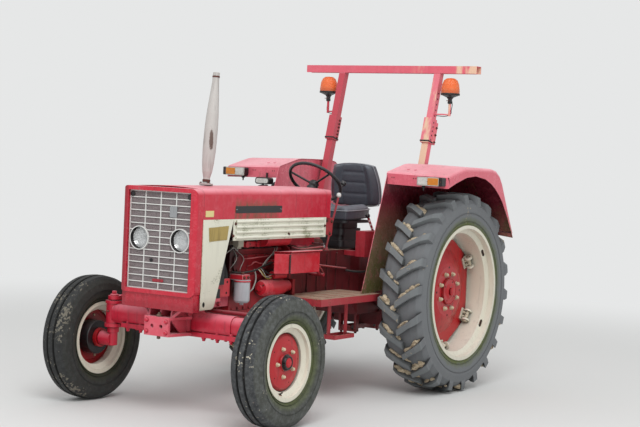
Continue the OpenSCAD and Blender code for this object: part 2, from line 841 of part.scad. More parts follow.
module grille()
    color("#c9cbc8")
        difference() {
            union() {
                // Level bars between the frame's top and bottom
                for (i = [0:grille_bars + 1]) {
                    z = grille_low + i * (grille_top - grille_low - bar_t) / (grille_bars + 1);
                    block([-grille_w / 2, grille_y, z], [grille_w / 2, grille_y + 8, z + bar_t]);
                }
                for (i = [0:4]) {
                    x = -grille_w / 2 + i * (grille_w - bar_t) / 4;
                    block([x, grille_y, grille_low], [x + bar_t, grille_y + 8, grille_top]);
                }
                // The wire mesh behind the bars, as one thin sheet
                block([-grille_w / 2, grille_y + 8, grille_low], [grille_w / 2, grille_y + 8 + mesh_t, grille_top]);
                for (s = [-1, 1])
                    translate([s * lamp_x, grille_y + 14, lamp_z])
                        bar_y(2 * (lamp_r + lamp_ring_t), 40);
            }
            for (s = [-1, 1])
                translate([s * lamp_x, grille_y + 14, lamp_z])
                    bar_y(2 * lamp_r, 60);
        }

module headlamps()
    color(steel)
        for (s = [-1, 1])
            translate([s * lamp_x, grille_y + 34, lamp_z])
                rotate([-90, 0, 0])
                    rotate_extrude()
                        polygon([[0, 22], [30, 18], [56, 6], [lamp_r - seat_gap, -12], [lamp_r - seat_gap, -2],
                            [58, 12], [32, 24], [0, 28]]);

crown_h = 10;

// Section of the bonnet, less its sheet's thickness: rounded edges and a slightly crowned top
module bonnet_outline(t) {
    half = bonnet_w / 2 - t;
    edge = edge_r - t;
    top = bonnet_top - crown_h - t;
    low = bonnet_edge - (t > 0 ? 1 : 0);
    crown_r = pow(half - edge, 2) / (2 * crown_h) + crown_h / 2;
    translate([-half, low])
        square([2 * half, top - edge - low]);
    translate([-half + edge, low])
        square([2 * (half - edge), top - low]);
    for (x = [-half + edge, half - edge])
        translate([x, top - edge])
            circle(edge);
    intersection() {
        translate([0, top + crown_h - crown_r])
            circle(crown_r, $fn = 720);
        translate([-half + edge, top - 1])
            square([2 * (half - edge), crown_h + 2]);
    }
}

module bonnet()
    color(red)
        front_view(bonnet_front, bonnet_back - seam)
            difference() {
                bonnet_outline(0);
                bonnet_outline(sheet);
            }

cowl_r = 34;

// The dash behind the bonnet, with its rear edges rounded
module cowl()
    color(red)
        difference() {
            union() {
                intersection() {
                    front_view(bonnet_back, cowl_back)
                        bonnet_outline(0);
                    mirror([0, 1, 0])
                        linear_extrude(bonnet_top)
                            front_rounded(-cowl_back, -bonnet_back, bonnet_w / 2, cowl_r);
                    side_view(bonnet_w) {
                        translate([bonnet_back, bonnet_edge])
                            square([cowl_back - bonnet_back, bonnet_top - bonnet_edge - cowl_r]);
                        translate([bonnet_back, bonnet_edge])
                            square([cowl_back - bonnet_back - cowl_r, bonnet_top - bonnet_edge]);
                        translate([cowl_back - cowl_r, bonnet_top - cowl_r])
                            circle(cowl_r);
                    }
                }
                // Pillar that stands on the clutch housing
                linear_extrude(bonnet_edge)
                    polygon([[-150, bonnet_back - 225], [150, bonnet_back - 225], [170, bonnet_back - 20],
                        [170, cowl_back - 20], [-170, cowl_back - 20], [-170, bonnet_back - 20]]);
                both_sides()
                    block([165, bonnet_back - 60, 1180], [bonnet_w / 2 - 20, cowl_back - 20, bonnet_edge]);
            }
            column_space(54);
            block([-200, bonnet_back - 240, -1], [200, cowl_back, 1090]);
        }

panel_x = bonnet_w / 2;
panel_t = 5;
panel_low = 718;
panel_foot = 146;
panel_head = 320;
foot_r = 40;
strip_low = bonnet_edge - 135;
strip_top = bonnet_edge + 6;
strip_ribs = 4;
rib_r = 11;

// Tapered panel: length, height, with a rounded rear foot
panel_outline = concat(
    [[bonnet_front - 4, panel_low]],
    [for (a = [-90:15:-15]) [bonnet_front + panel_foot - foot_r + foot_r * cos(a), panel_low + foot_r + foot_r * sin(a)]],
    [[bonnet_front + panel_head, strip_top], [bonnet_front - 4, strip_top]]);

module side_panels()
    color(cream)
        both_sides() {
            translate([panel_x + panel_t / 2, 0, 0])
                side_view(panel_t)
                    polygon(panel_outline);
            // Ribbed strip: a thin plate with half-round ribs and a plain edge at each end
            translate([panel_x, 0, 0]) {
                block([0, bonnet_front + panel_head + 1, strip_low], [3, bonnet_back - 1, strip_top]);
                front_view(bonnet_front + panel_head + 30, bonnet_back - 36)
                    intersection() {
                        for (i = [0:strip_ribs - 1])
                            translate([0, strip_low + (i + 0.5) * (strip_top - strip_low) / strip_ribs])
                                circle(rib_r);
                        translate([0, strip_low])
                            square([rib_r, strip_top - strip_low]);
                    }
            }
        }

core_half = 225;
core_front = front_y - 30;
core_back = front_y + 60;

module radiator()
    color(black)
        difference() {
            union() {
                block([-core_half, core_front, support_z], [core_half, core_back, 1400]);
                block([-core_half - 12, core_front - 14, support_z], [core_half + 12, core_back + 14, support_z + 60]);
                // Top tank with its filler neck
                translate([0, 0, 1400])
                    front_view(core_front - 14, core_back + 14)
                        rounded(2 * core_half + 24, 90, 30);
                translate([0, (core_front + core_back) / 2, 1440])
                    cylinder(d = 60, h = 34);
                // Fan shroud
                block([-core_half, core_back, fan_z - 230], [core_half, core_back + 70, fan_z + 230]);
            }
            front_view(core_back + 10, core_back + 71)
                translate([0, fan_z])
                    circle(fan_r + 28);
        }

fan_y = front_y + 150;
fan_z = 1090;
fan_r = 190;

module fan()
    color(black)
        translate([0, fan_y, fan_z]) {
            bar_y(120, 24);
            translate([0, (pump_front - fan_y - seat_gap) / 2, 0])
                bar_y(24, pump_front - fan_y - seat_gap);
            translate([0, 70, 0])
                bar_y(110, 24);
            for (i = [0:5])
                rotate([0, i * 60, 0])
                    translate([0, 0, 40])
                        rotate([0, 0, 30])
                            linear_extrude(fan_r - 40)
                                square([70, 4], center = true);
        }

exhaust_y = rear_y - 2055;

// Outline of the upright silencer: radius, height
silencer = [[0, 0], [46, 0], [46, 12], [24, 15], [23, 50], [33, 90], [40, 150], [45, 250], [45, 380],
    [41, 480], [33, 580], [26, 660], [23, 700], [23, 756], [19, 758], [19, 20], [0, 20]];

module exhaust()
    color(steel)
        translate([0, exhaust_y, bonnet_top + 4.2])
            rotate([-5, 0, 0])
                rotate_extrude()
                    polygon(silencer);

// Driver's place

wheel_y = rear_y - 721;
wheel_z = 1539;
column_d = 50;
spindle_d = 22;
hand_r = 12;

// Puts its children on the steering wheel's middle, with Z along the column
module along_column() translate([0, wheel_y, wheel_z]) rotate([-column_lean, 0, 0]) children();

// The room that a round of this diameter takes along the column
module column_space(d)
    along_column()
        translate([0, 0, -420])
            cylinder(d = d, h = 360);

module steering_column()
    color(black)
        difference() {
            union() {
                column_space(column_d);
                along_column()
                    translate([0, 0, -140])
                        cylinder(d1 = column_d, d2 = 78, h = 76);
            }
            along_column()
                translate([0, 0, -130])
                    cylinder(d = spindle_d + run_fit, h = 80);
        }

module steering_wheel()
    color(black)
        along_column() {
            rotate_extrude()
                translate([steering_d / 2 - hand_r, 0])
                    circle(hand_r, $fn = 32);
            translate([0, 0, -56])
                rotate_extrude()
                    polygon([[0, 0], [26, 0], [34, 12], [38, 36], [30, 44], [0, 47]]);
            translate([0, 0, -115])
                cylinder(d = spindle_d, h = 80);
            for (i = [0:2])
                rotate([0, 0, 90 + i * 120])
                    translate([0, 0, -30])
                        rotate([0, 82, 0])
                            cylinder(d = 16, h = steering_d / 2 - 12);
            // Knob that turns the wheel with one hand
            rotate([0, 0, 20])
                translate([steering_d / 2 - hand_r, 0, hand_r - 4])
                    rotate_extrude()
                        polygon([[0, 0], [10, 0], [10, 24], [20, 32], [24, 46], [18, 58], [0, 62]]);
        }

platform_front = rear_y - 1440;
platform_back = rear_y - 640;
platform_in = 200;
platform_out = 560;
lip_h = 45;
step_z = 455;
step_y = rear_y - 1100;

module platform()
    color(red)
        both_sides() {
            block([platform_in, platform_front, platform_z], [platform_out, platform_back, platform_z + plate_t]);
            block([platform_in, platform_front, platform_z - lip_h],
                [platform_out, platform_front + plate_t, platform_z]);
            block([platform_out - plate_t, platform_front, platform_z - lip_h],
                [platform_out, platform_back, platform_z]);
            // Brackets on the transmission's side
            for (y = [platform_front + 350, platform_back - 200])
                block([gear_w / 2, y, platform_z - 40], [platform_in + 160, y + 40, platform_z]);
            // Step on two hangers below the plate
            for (y = [step_y - 110, step_y + 110])
                block([480, y - 18, step_z], [488, y + 18, platform_z]);
            difference() {
                block([440, step_y - 128, step_z], [550, step_y + 128, step_z + 30]);
                block([446, step_y - 122, step_z + plate_t], [544, step_y + 122, step_z + 31]);
            }
        }

// Levers: foot and top, each as across, length, height
levers = [
    [[140, rear_y - 760, 1040], [195, rear_y - 694, 1449]],
    [[-140, rear_y - 760, 1040], [-160, rear_y - 700, 1380]],
    [[0, rear_y - 660, 1110], [0, rear_y - 720, 1320]]];
console_in = 300;
console_out = 380;

// Pedals, hand levers and the lift's control box
module pedals()
    color(dark_red) {
        both_sides() {
            translate([(gear_w / 2 + 290) / 2, rear_y - 1000, 880])
                bar_x(24, 290 - gear_w / 2);
            translate([262, 0, 0])
                side_view(14)
                    polygon([[rear_y - 1012, 872], [rear_y - 988, 872], [rear_y - 1090, 950], [rear_y - 1180, 962],
                        [rear_y - 1180, 948], [rear_y - 1098, 936]]);
            translate([262, rear_y - 1180, 955])
                rotate([24, 0, 0])
                    translate([-38, -8, -42])
                        cube([76, 10, 84]);
        }
        for (l = levers) {
            translate(l[0])
                cylinder(d1 = 46, d2 = 30, h = 26);
            // Flat steel lever
            along(l[0], l[1])
                translate([-5, -9, 8])
                    cube([10, 18, norm(l[1] - l[0]) - 8]);
            // Turned knob
            translate(l[1])
                rotate_extrude()
                    polygon([[0, -18], [10, -18], [17, -8], [17, 5], [9, 16], [0, 16]]);
        }
        // Control box of the lift beside the seat
        block([console_in, rear_y - 600, 1000], [console_out, rear_y - 360, 1190]);
        block([gear_w / 2, rear_y - 540, 1000], [console_in + 1, rear_y - 500, 1036]);
        bar([console_in + 40, rear_y - 420, 1180], [console_in + 40, rear_y - 510, 1300], 18);
    }

fender_in = fender_gap / 2;
fender_out = fender_span / 2;
fender_w = fender_out - fender_in;
shoulder_r = 26;
// The crown falls by this much from the inner wall to the outer shoulder
crown_fall = 12;
arch_r = 231;
arch_z = 1469;
arch_y = 225;
wall_low = platform_z + plate_t;
// The crown laps over the wall by this much
wall_lap = 3;

// Stations along a fender, from the face's foot over the deck to the rear edge, behind the rear axle:
// crown's length and height at the inner wall, slope of the sheet, skirt edge's length and height
function arch_station(a, y, z) = [arch_y + arch_r * sin(a), arch_z + arch_r * cos(a), -a, y, z];
stations = [
    [-500, 1546, 90, -466, 1536],
    [-500, 1626, 90, -457, 1540],
    [-488, 1638, 14, -446, 1544],
    [-370, 1666, 14, -360, 1573],
    [-240, 1696, 9, -235, 1607],
    [-190, 1701, 0, -190, 1617],
    [-50, 1701, 0, -50, 1629],
    [110, 1700, 0, 110, 1608],
    arch_station(0, 212, 1573),
    arch_station(20, 288, 1533),
    arch_station(40, 355, 1486),
    arch_station(60, 418, 1432),
    [532, 1399, -60, 510, 1322],
    [646, 1208, -60, 630, 1155]];

// The crown falls along the face and the deck, and inwards round the arch
function fall_tilt(t) = t > 60 ? 0 : t;

// Points of one station's section at a depth below the skin
function fender_ring(s, t) =
    let (n = [sin(s[2]), -cos(s[2])],
        f = [sin(fall_tilt(s[2])), -cos(fall_tilt(s[2]))],
        crown = [s[0], s[1]],
        outer = crown + crown_fall * f)
    concat(
        [[-wall_lap, crown[0] + t * n[0], crown[1] + t * n[1]]],
        [for (a = [0:22.5:90])
            let (d = shoulder_r - (shoulder_r - t) * cos(a),
                x = fender_w - shoulder_r + (shoulder_r - t) * sin(a))
            [x, outer[0] + d * n[0], outer[1] + d * n[1]]],
        [[fender_w - t, s[3], s[4]]]);

function fender_section(s) = concat(fender_ring(s, 0), back_to_front(fender_ring(s, plate_t)));

// Closed skin over a row of like sections
module lofted(rows) {
    n = len(rows[0]);
    m = len(rows);
    polyhedron(
        [for (r = rows, p = r) p],
        concat(
            [[for (i = [0:n - 1]) i]],
            [for (k = [0:m - 2], i = [0:n - 1])
                each [[k * n + i, (k + 1) * n + i, (k + 1) * n + (i + 1) % n],
                    [k * n + i, (k + 1) * n + (i + 1) % n, k * n + (i + 1) % n]]],
            [[for (i = [n - 1:-1:0]) (m - 1) * n + i]]));
}

module fender(s)
    color(red)
        on_side(s)
            translate([fender_in, rear_y, 0]) {
                lofted([for (st = stations) fender_section(st)]);
                // Inner wall beside the driver, cut out over the axle trumpet
                rotate([90, 0, 90])
                    linear_extrude(plate_t)
                        difference() {
                            polygon(concat(
                                [for (i = [1:len(stations) - 1]) let (st = stations[i])
                                    [st[0] + 2.5 * sin(st[2]), st[1] - 2.5 * cos(st[2])]],
                                [[560, 1180], [400, 980], [260, 860], [150, 790], [-240, 790],
                                    [platform_back - rear_y, wall_low], [-795, wall_low]]));
                            translate([0, rear_z])
                                circle(d = trumpet_d + 2 * seat_gap);
                        }
            }

lamp_in = 770 - fender_in;
lamp_len = 205;
lamp_low = 1550;
lamp_high = 1612;
face_y = rear_y - 500;

module fender_lamps()
    color(black) {
        // Side lamp and indicator in one housing on each fender's face
        both_sides()
            translate([fender_in + lamp_in + lamp_len / 2, face_y, (lamp_low + lamp_high) / 2])
                rotate([90, 0, 0])
                    linear_extrude(56)
                        rounded(lamp_len, lamp_high - lamp_low, 8);
        // Work lamp below the right fender's face, on its bracket
        translate([-590, face_y - 8, 1518])
            rotate([90, 0, 0])
                linear_extrude(60)
                    rounded(130, 52, 20);
        block([-596, face_y - 9, 1530], [-584, face_y, 1580]);
    }

seat_y = rear_y - 400;

module seat_frame()
    color(black) {
        // Base plate on the axle housing, bellows of the spring, and the cushion's pan
        block([-130, seat_y - 150, 1040], [130, seat_y + 130, 1058]);
        for (i = [0:3])
            translate([0, seat_y - 10, 1058 + i * 45])
                linear_extrude(45)
                    rounded(300 - 36 * (i % 2), 290 - 36 * (i % 2), 40);
        translate([0, seat_y - 10, 1238])
            linear_extrude(20)
                rounded(seat_w - 60, 380, 50);
        // Bracket that carries the backrest
        block([-60, seat_y + 160, 1238], [60, seat_y + 260, 1252]);
        block([-60, seat_y + 236, 1238], [60, seat_y + 256, 1346]);
    }

// Cushion and backrest with their side bolsters
module seat()
    color(black) {
        hull()
            for (x = [-1, 1], p = [[-186, 1258, 42], [150, 1258, seat_z - 1258]])
                translate([x * (seat_w / 2 - 62), seat_y + p[0], p[1] + seat_gap])
                    cylinder(r = 50, h = p[2], $fn = 24);
        for (x = [-1, 1])
            hull()
                for (p = [[-150, 1290, 30], [130, 1345, 36]])
                    translate([x * (seat_w / 2 - 36), seat_y + p[0], p[1]])
                        sphere(r = p[2], $fn = 16);
        hull()
            for (x = [-1, 1], p = [[246, 1390, 88], [300, 1646, 118]])
                translate([x * (seat_w / 2 - p[2]), seat_y + p[0], p[1]])
                    sphere(r = 44, $fn = 16);
        for (x = [-1, 1])
            hull()
                for (p = [[206, 1420, 44], [246, 1600, 66]])
                    translate([x * (seat_w / 2 - p[2]), seat_y + p[0], p[1]])
                        sphere(r = 34, $fn = 16);
    }

post_x = post_span / 2;
foot_z = rear_z + trumpet_d / 2 + seat_gap;
foot_t = 20;
// The posts' middle line crosses this height at this length
post_ref = [rear_y + 120, 1700];
sleeve_low = 200;
beam_w = 75;
beam_t = 58;
// Length at which a post's middle line crosses a height
function post_y(z) = post_ref[0] + (z - post_ref[1]) * tan(post_lean);
beam_y = post_y(bar_top - 30);
beacon_x = 560;
beacon_y = rear_y + 280;
beacon_z = bar_top - 292;
beacon_arm_z = beacon_z - 84;
peg_d = 20;

// Puts its children on a post's middle line at a height, with Z along the post
module on_post(z)
    translate([post_x, post_y(z), z])
        rotate([-post_lean, 0, 0])
            children();

module roll_bar()
    color(red) {
        // Top bar, a channel that is open below
        difference() {
            block([-bar_len / 2, beam_y - beam_w / 2, bar_top - beam_t], [bar_len / 2, beam_y + beam_w / 2, bar_top]);
            block([-bar_len / 2 - 1, beam_y - beam_w / 2 + plate_t, bar_top - beam_t - 1],
                [bar_len / 2 + 1, beam_y + beam_w / 2 - plate_t, bar_top - plate_t]);
        }
        both_sides() {
            intersection() {
                on_post(foot_z)
                    translate([-post_w / 2, -post_w / 2, -60])
                        cube([post_w, post_w, (bar_top - foot_z) / cos(post_lean) + 100]);
                block([0, 0, foot_z + 4], [bar_len, 2 * rear_y, bar_top - 2]);
            }
            // Adjusting sleeve with its drilled rear flange and the strap at its lower end
            on_post(1860) {
                translate([-post_w / 2 - 8, -post_w / 2 - 16, 0])
                    cube([post_w + 16, post_w + 24, sleeve_low]);
                translate([post_w / 2, post_w / 2 - 6, 4])
                    cube([12, 34, sleeve_low - 24]);
                translate([-post_w / 2 - 11, -post_w / 2 - 19, 8])
                    cube([post_w + 22, post_w + 30, 10]);
            }
            // Saddle on the axle trumpet
            block([post_x - 60, rear_y - 170, foot_z], [post_x + 34, rear_y + 130, foot_z + foot_t]);
            for (y = [rear_y - 150, rear_y + 104])
                block([post_x - 50, y, foot_z - 60], [post_x + 24, y + 16, foot_z]);
            // Beacon's arm and peg
            bar([post_x, post_y(beacon_arm_z), beacon_arm_z], [beacon_x, beacon_y, beacon_arm_z], 12);
            translate([beacon_x, beacon_y, beacon_arm_z - 12])
                cylinder(d = peg_d, h = beacon_z - beacon_arm_z + 12);
        }
    }

// Outline of a beacon: radius, height above its peg
beacon_outline = [[0, 0], [17, 0], [17, 34], [27, 48], [beacon_r - 12, 62], [beacon_r - 2, 66], [beacon_r - 2, 78],
    [beacon_r, 80], [beacon_r, 104], [beacon_r - 6, 150], [beacon_r - 20, 182], [beacon_r - 40, 196], [0, 200]];

module beacons()
    color("orange")
        both_sides()
            translate([beacon_x, beacon_y, beacon_z])
                rotate_extrude()
                    polygon(beacon_outline);

// Rear hitch

link_y = rear_y + 10;
link_z = 470;
lift_y = rear_y + 120;
lift_z = 990;
lift_shaft_d = 60;
lift_pin_d = 24;
arm_x = 215;
rod_x = 262;
link_front_x = 262;
link_back_x = 400;
link_d = 44;
ball_w = 44;
// Where the lower link lies beside the lift rod
link_mid_x = link_front_x + (link_back_x - link_front_x) * lift_arm / lower_link;

module lift_arms()
    color(dark_red)
        both_sides()
            difference() {
                union() {
                    translate([arm_x, lift_y, lift_z])
                        bar_x(130, 50);
                    translate([arm_x, 0, 0])
                        side_view(40)
                            polygon([[lift_y, lift_z - 62], [lift_y + lift_arm, lift_z - 28],
                                [lift_y + lift_arm, lift_z + 28], [lift_y, lift_z + 62]]);
                    translate([arm_x, lift_y + lift_arm, lift_z])
                        bar_x(60, 40);
                    translate([arm_x + 35, lift_y + lift_arm, lift_z])
                        bar_x(lift_pin_d, 70);
                }
                translate([arm_x, lift_y, lift_z])
                    bar_x(lift_shaft_d + run_fit, 60);
            }

module lift_rods()
    color(dark_red)
        both_sides()
            difference() {
                union() {
                    bar([rod_x, link_y + lift_arm, link_z], [rod_x, lift_y + lift_arm, lift_z], 28);
                    translate([rod_x, link_y + lift_arm, link_z])
                        bar_x(52, 30);
                    translate([rod_x, lift_y + lift_arm, lift_z])
                        bar_x(52, 30);
                    // Turnbuckle that sets the rod's length
                    bar([rod_x, (link_y + lift_y) / 2 + lift_arm - 12, (link_z + lift_z) / 2 - 60],
                        [rod_x, (link_y + lift_y) / 2 + lift_arm + 12, (link_z + lift_z) / 2 + 60], 46);
                }
                translate([rod_x, link_y + lift_arm, link_z])
                    bar_x(lift_pin_d + run_fit, 40);
                translate([rod_x, lift_y + lift_arm, lift_z])
                    bar_x(lift_pin_d + run_fit, 40);
            }

module lower_links()
    color(dark_red)
        both_sides()
            difference() {
                union() {
                    bar([link_front_x, link_y, link_z],
                        [link_back_x - 6, link_y + lower_link - 36, link_z], link_d);
                    translate([link_back_x, link_y + lower_link, link_z])
                        bar_x(90, ball_w);
                    translate([link_front_x, link_y, link_z])
                        bar_x(70, 40);
                    // Pin that carries the lift rod
                    translate([(link_mid_x + rod_x - 20) / 2, link_y + lift_arm, link_z])
                        bar_x(lift_pin_d, link_mid_x - rod_x + 20);
                }
                translate([link_back_x, link_y + lower_link, link_z])
                    bar_x(ball_bore, ball_w + 16);
                translate([link_front_x, link_y, link_z])
                    bar_x(link_pin_d + run_fit, 60);
            }

drawbar_w = 80;
drawbar_t = 34;
drawbar_z = 400;
drawbar_end = gear_back + 230;
drawbar_pin_d = 31;

module drawbar()
    color(dark_red)
        difference() {
            union() {
                block([-drawbar_w / 2, rear_y - 200, drawbar_z], [drawbar_w / 2, drawbar_end, drawbar_z + drawbar_t]);
                translate([0, drawbar_end, drawbar_z])
                    cylinder(d = drawbar_w, h = drawbar_t);
                // Frame that hangs it below the axle housing
                for (y = [rear_y - 180, gear_back - 110]) {
                    block([-drawbar_w / 2 - 40, y, drawbar_z - 16], [drawbar_w / 2 + 40, y + 40, drawbar_z]);
                    both_sides()
                        block([drawbar_w / 2 + 20, y, drawbar_z], [drawbar_w / 2 + 40, y + 40, 540]);
                }
            }
            translate([0, drawbar_end, drawbar_z - 1])
                cylinder(d = drawbar_pin_d, h = drawbar_t + 2);
        }

front_axle();
front_support();
knuckle(1);  // knuckle_left
knuckle(-1);  // knuckle_right
tie_rod();
front_tyre(1);  // front_tyre_left
front_rim(1);  // front_rim_left
front_disc(1);  // front_disc_left
front_tyre(-1);  // front_tyre_right
front_rim(-1);  // front_rim_right
front_disc(-1);  // front_disc_right
rear_tyre(1);  // rear_tyre_left
rear_rim(1);  // rear_rim_left
rear_disc(1);  // rear_disc_left
rear_tyre(-1);  // rear_tyre_right
rear_rim(-1);  // rear_rim_right
rear_disc(-1);  // rear_disc_right
engine();
engine_fittings();
oil_filter();
tool_box();
transmission();
radiator();
fan();
nose();
grille();
headlamps();
bonnet();
cowl();
side_panels();
exhaust();
steering_column();
steering_wheel();
pedals();
platform();
fender(1);  // fender_left
fender(-1);  // fender_right
fender_lamps();
seat_frame();
seat();
roll_bar();
beacons();
lift_arms();
lift_rods();
lower_links();
drawbar();
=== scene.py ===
import random
from math import atan2, cos, exp, pi, radians, sin, sqrt, tan

import bmesh
import bpy
from mathutils import Matrix, Vector


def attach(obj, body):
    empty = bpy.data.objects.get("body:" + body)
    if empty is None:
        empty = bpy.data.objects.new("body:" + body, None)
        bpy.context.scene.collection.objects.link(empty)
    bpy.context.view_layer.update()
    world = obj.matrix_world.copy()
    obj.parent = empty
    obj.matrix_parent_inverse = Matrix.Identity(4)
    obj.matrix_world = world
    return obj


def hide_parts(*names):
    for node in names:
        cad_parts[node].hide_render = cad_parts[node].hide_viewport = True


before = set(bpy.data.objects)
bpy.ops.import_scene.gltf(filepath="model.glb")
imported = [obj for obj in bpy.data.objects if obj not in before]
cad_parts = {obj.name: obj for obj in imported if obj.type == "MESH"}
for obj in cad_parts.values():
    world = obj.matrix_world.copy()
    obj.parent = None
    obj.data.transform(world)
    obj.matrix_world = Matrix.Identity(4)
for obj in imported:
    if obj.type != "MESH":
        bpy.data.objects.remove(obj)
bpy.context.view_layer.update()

# Camera
# A long lens at head height, ahead of the tractor's front left corner. It
# takes in the whole machine from about 11 metres away.
CAMERA_AT = Vector((6.095, -9.2177, 1.76))
CAMERA_TURN = [radians(a) for a in (87.6543, -2.5361, 32.9515)]
CAMERA_LENS = 84.7
camera = bpy.data.cameras.new("camera")
camera.lens = CAMERA_LENS
camera.sensor_width = 36
camera.sensor_fit = "HORIZONTAL"
camera_object = bpy.data.objects.new("camera", camera)
bpy.context.scene.collection.objects.link(camera_object)
camera_object.location = CAMERA_AT
camera_object.rotation_euler = CAMERA_TURN
bpy.context.scene.camera = camera_object
bpy.context.scene.view_settings.view_transform = "Standard"

# Studio
# A pale floor that runs into a pale backdrop without an edge, an even white
# sky, and one broad lamp high on the tractor's front left.
BACKDROP = "#e6e7e7"
FLOOR_PAINT = "#e2e3e2"
SKY_LIGHT = 0.72
LAMP_AT = Vector((4.5, -6.5, 8.5))
LAMP_POWER = 520
LAMP_SIZE = 5.0
# The floor turns into the backdrop between these distances from the tractor
FADE_START = 4.0
FADE_END = 9.0


def linear(hex_colour):
    channels = [int(hex_colour[i : i + 2], 16) / 255 for i in (1, 3, 5)]
    return [c / 12.92 if c <= 0.04045 else ((c + 0.055) / 1.055) ** 2.4 for c in channels] + [1]


def feed(node, inputs):
    """Links or sets a node's inputs: a dictionary names them, and a list gives them in the node's order.
    A node among the values stands for its first output in use, and a text for an sRGB colour."""
    for key, value in inputs.items() if isinstance(inputs, dict) else enumerate(inputs):
        if isinstance(value, str):
            value = linear(value)
        if isinstance(value, bpy.types.Node):
            value = next(out for out in value.outputs if out.enabled)
        if isinstance(value, bpy.types.NodeSocket):
            node.id_data.links.new(value, node.inputs[key])
        else:
            node.inputs[key].default_value = value


def add(tree, kind, inputs=(), **settings):
    node = tree.nodes.new("ShaderNode" + kind)
    for name, value in settings.items():
        setattr(node, name, value)
    feed(node, inputs)
    return node


def new_material(name):
    material = bpy.data.materials.new(name)
    material.use_nodes = True
    return material, material.node_tree, material.node_tree.nodes["Principled BSDF"]


def repaint(material, name=None):
    """A painted material, or a copy with a name of its own, with its nodes and the colour it has so far."""
    if name:
        material = material.copy()
        material.name = name
    shader = material.node_tree.nodes["Principled BSDF"]
    return material, material.node_tree, shader, shader.inputs["Base Color"].links[0].from_socket


def seen_rays(tree):
    """1 for rays that the camera sees straight, through glass or in a mirror; 0 for all other light."""
    rays = add(tree, "LightPath").outputs
    straight = add(tree, "Math", [rays["Is Camera Ray"], rays["Is Transmission Ray"]], operation="MAXIMUM")
    return add(tree, "Math", [straight, rays["Is Glossy Ray"]], operation="MAXIMUM")


world = bpy.data.worlds.new("studio")
bpy.context.scene.world = world
world.use_nodes = True
sky = world.node_tree
sky.nodes.clear()
seen = seen_rays(sky)
sky_light = add(sky, "Background", {"Color": (1, 1, 1, 1), "Strength": SKY_LIGHT})
sky_seen = add(sky, "Background", {"Color": BACKDROP, "Strength": 1})
sky_mix = add(sky, "MixShader", [seen, sky_light, sky_seen])
add(sky, "OutputWorld", {"Surface": sky_mix})

lamp = bpy.data.lights.new("broad_lamp", "AREA")
lamp.energy = LAMP_POWER
lamp.size = LAMP_SIZE
lamp_object = bpy.data.objects.new("broad_lamp", lamp)
bpy.context.scene.collection.objects.link(lamp_object)
lamp_object.location = LAMP_AT
lamp_object.rotation_euler = (Vector((0, 0, 0.8)) - LAMP_AT).to_track_quat("-Z", "Y").to_euler()

floor_paint, tree, shader = new_material("floor_paint")
feed(shader, {"Base Color": FLOOR_PAINT, "Roughness": 0.9, "Specular IOR Level": 0.1})
place = add(tree, "NewGeometry").outputs["Position"]
far = add(tree, "VectorMath", [place], operation="LENGTH")
fade = add(tree, "MapRange", [far, FADE_START, FADE_END], interpolation_type="SMOOTHSTEP")
seen = seen_rays(tree)
share = add(tree, "Math", [fade, seen], operation="MULTIPLY")
backdrop = add(tree, "Emission", {"Color": BACKDROP, "Strength": 1})
mixed = add(tree, "MixShader", [share, shader, backdrop])
feed(tree.nodes["Material Output"], {"Surface": mixed})
floor_mesh = bpy.data.meshes.new("floor")
floor_mesh.from_pydata([(-60, -60, 0), (60, -60, 0), (60, 60, 0), (-60, 60, 0)], [], [(0, 1, 2, 3)])
floor_mesh.materials.append(floor_paint)
floor = bpy.data.objects.new("floor", floor_mesh)
bpy.context.scene.collection.objects.link(floor)
floor.location.z = -0.001

# Front support and front axle
# A cast support and a beam of two tubes that slide in a middle one, clamped by
# bolts below. All of it is brushed with crimson tractor enamel.
CRIMSON = "#c91f3a"
CHALK = "#ea8090"
GREASE_AND_SHADE = "#241613"
RUST = "#6b3a24"
BARE_STEEL = "#8d8a84"
DUST = "#a49a86"


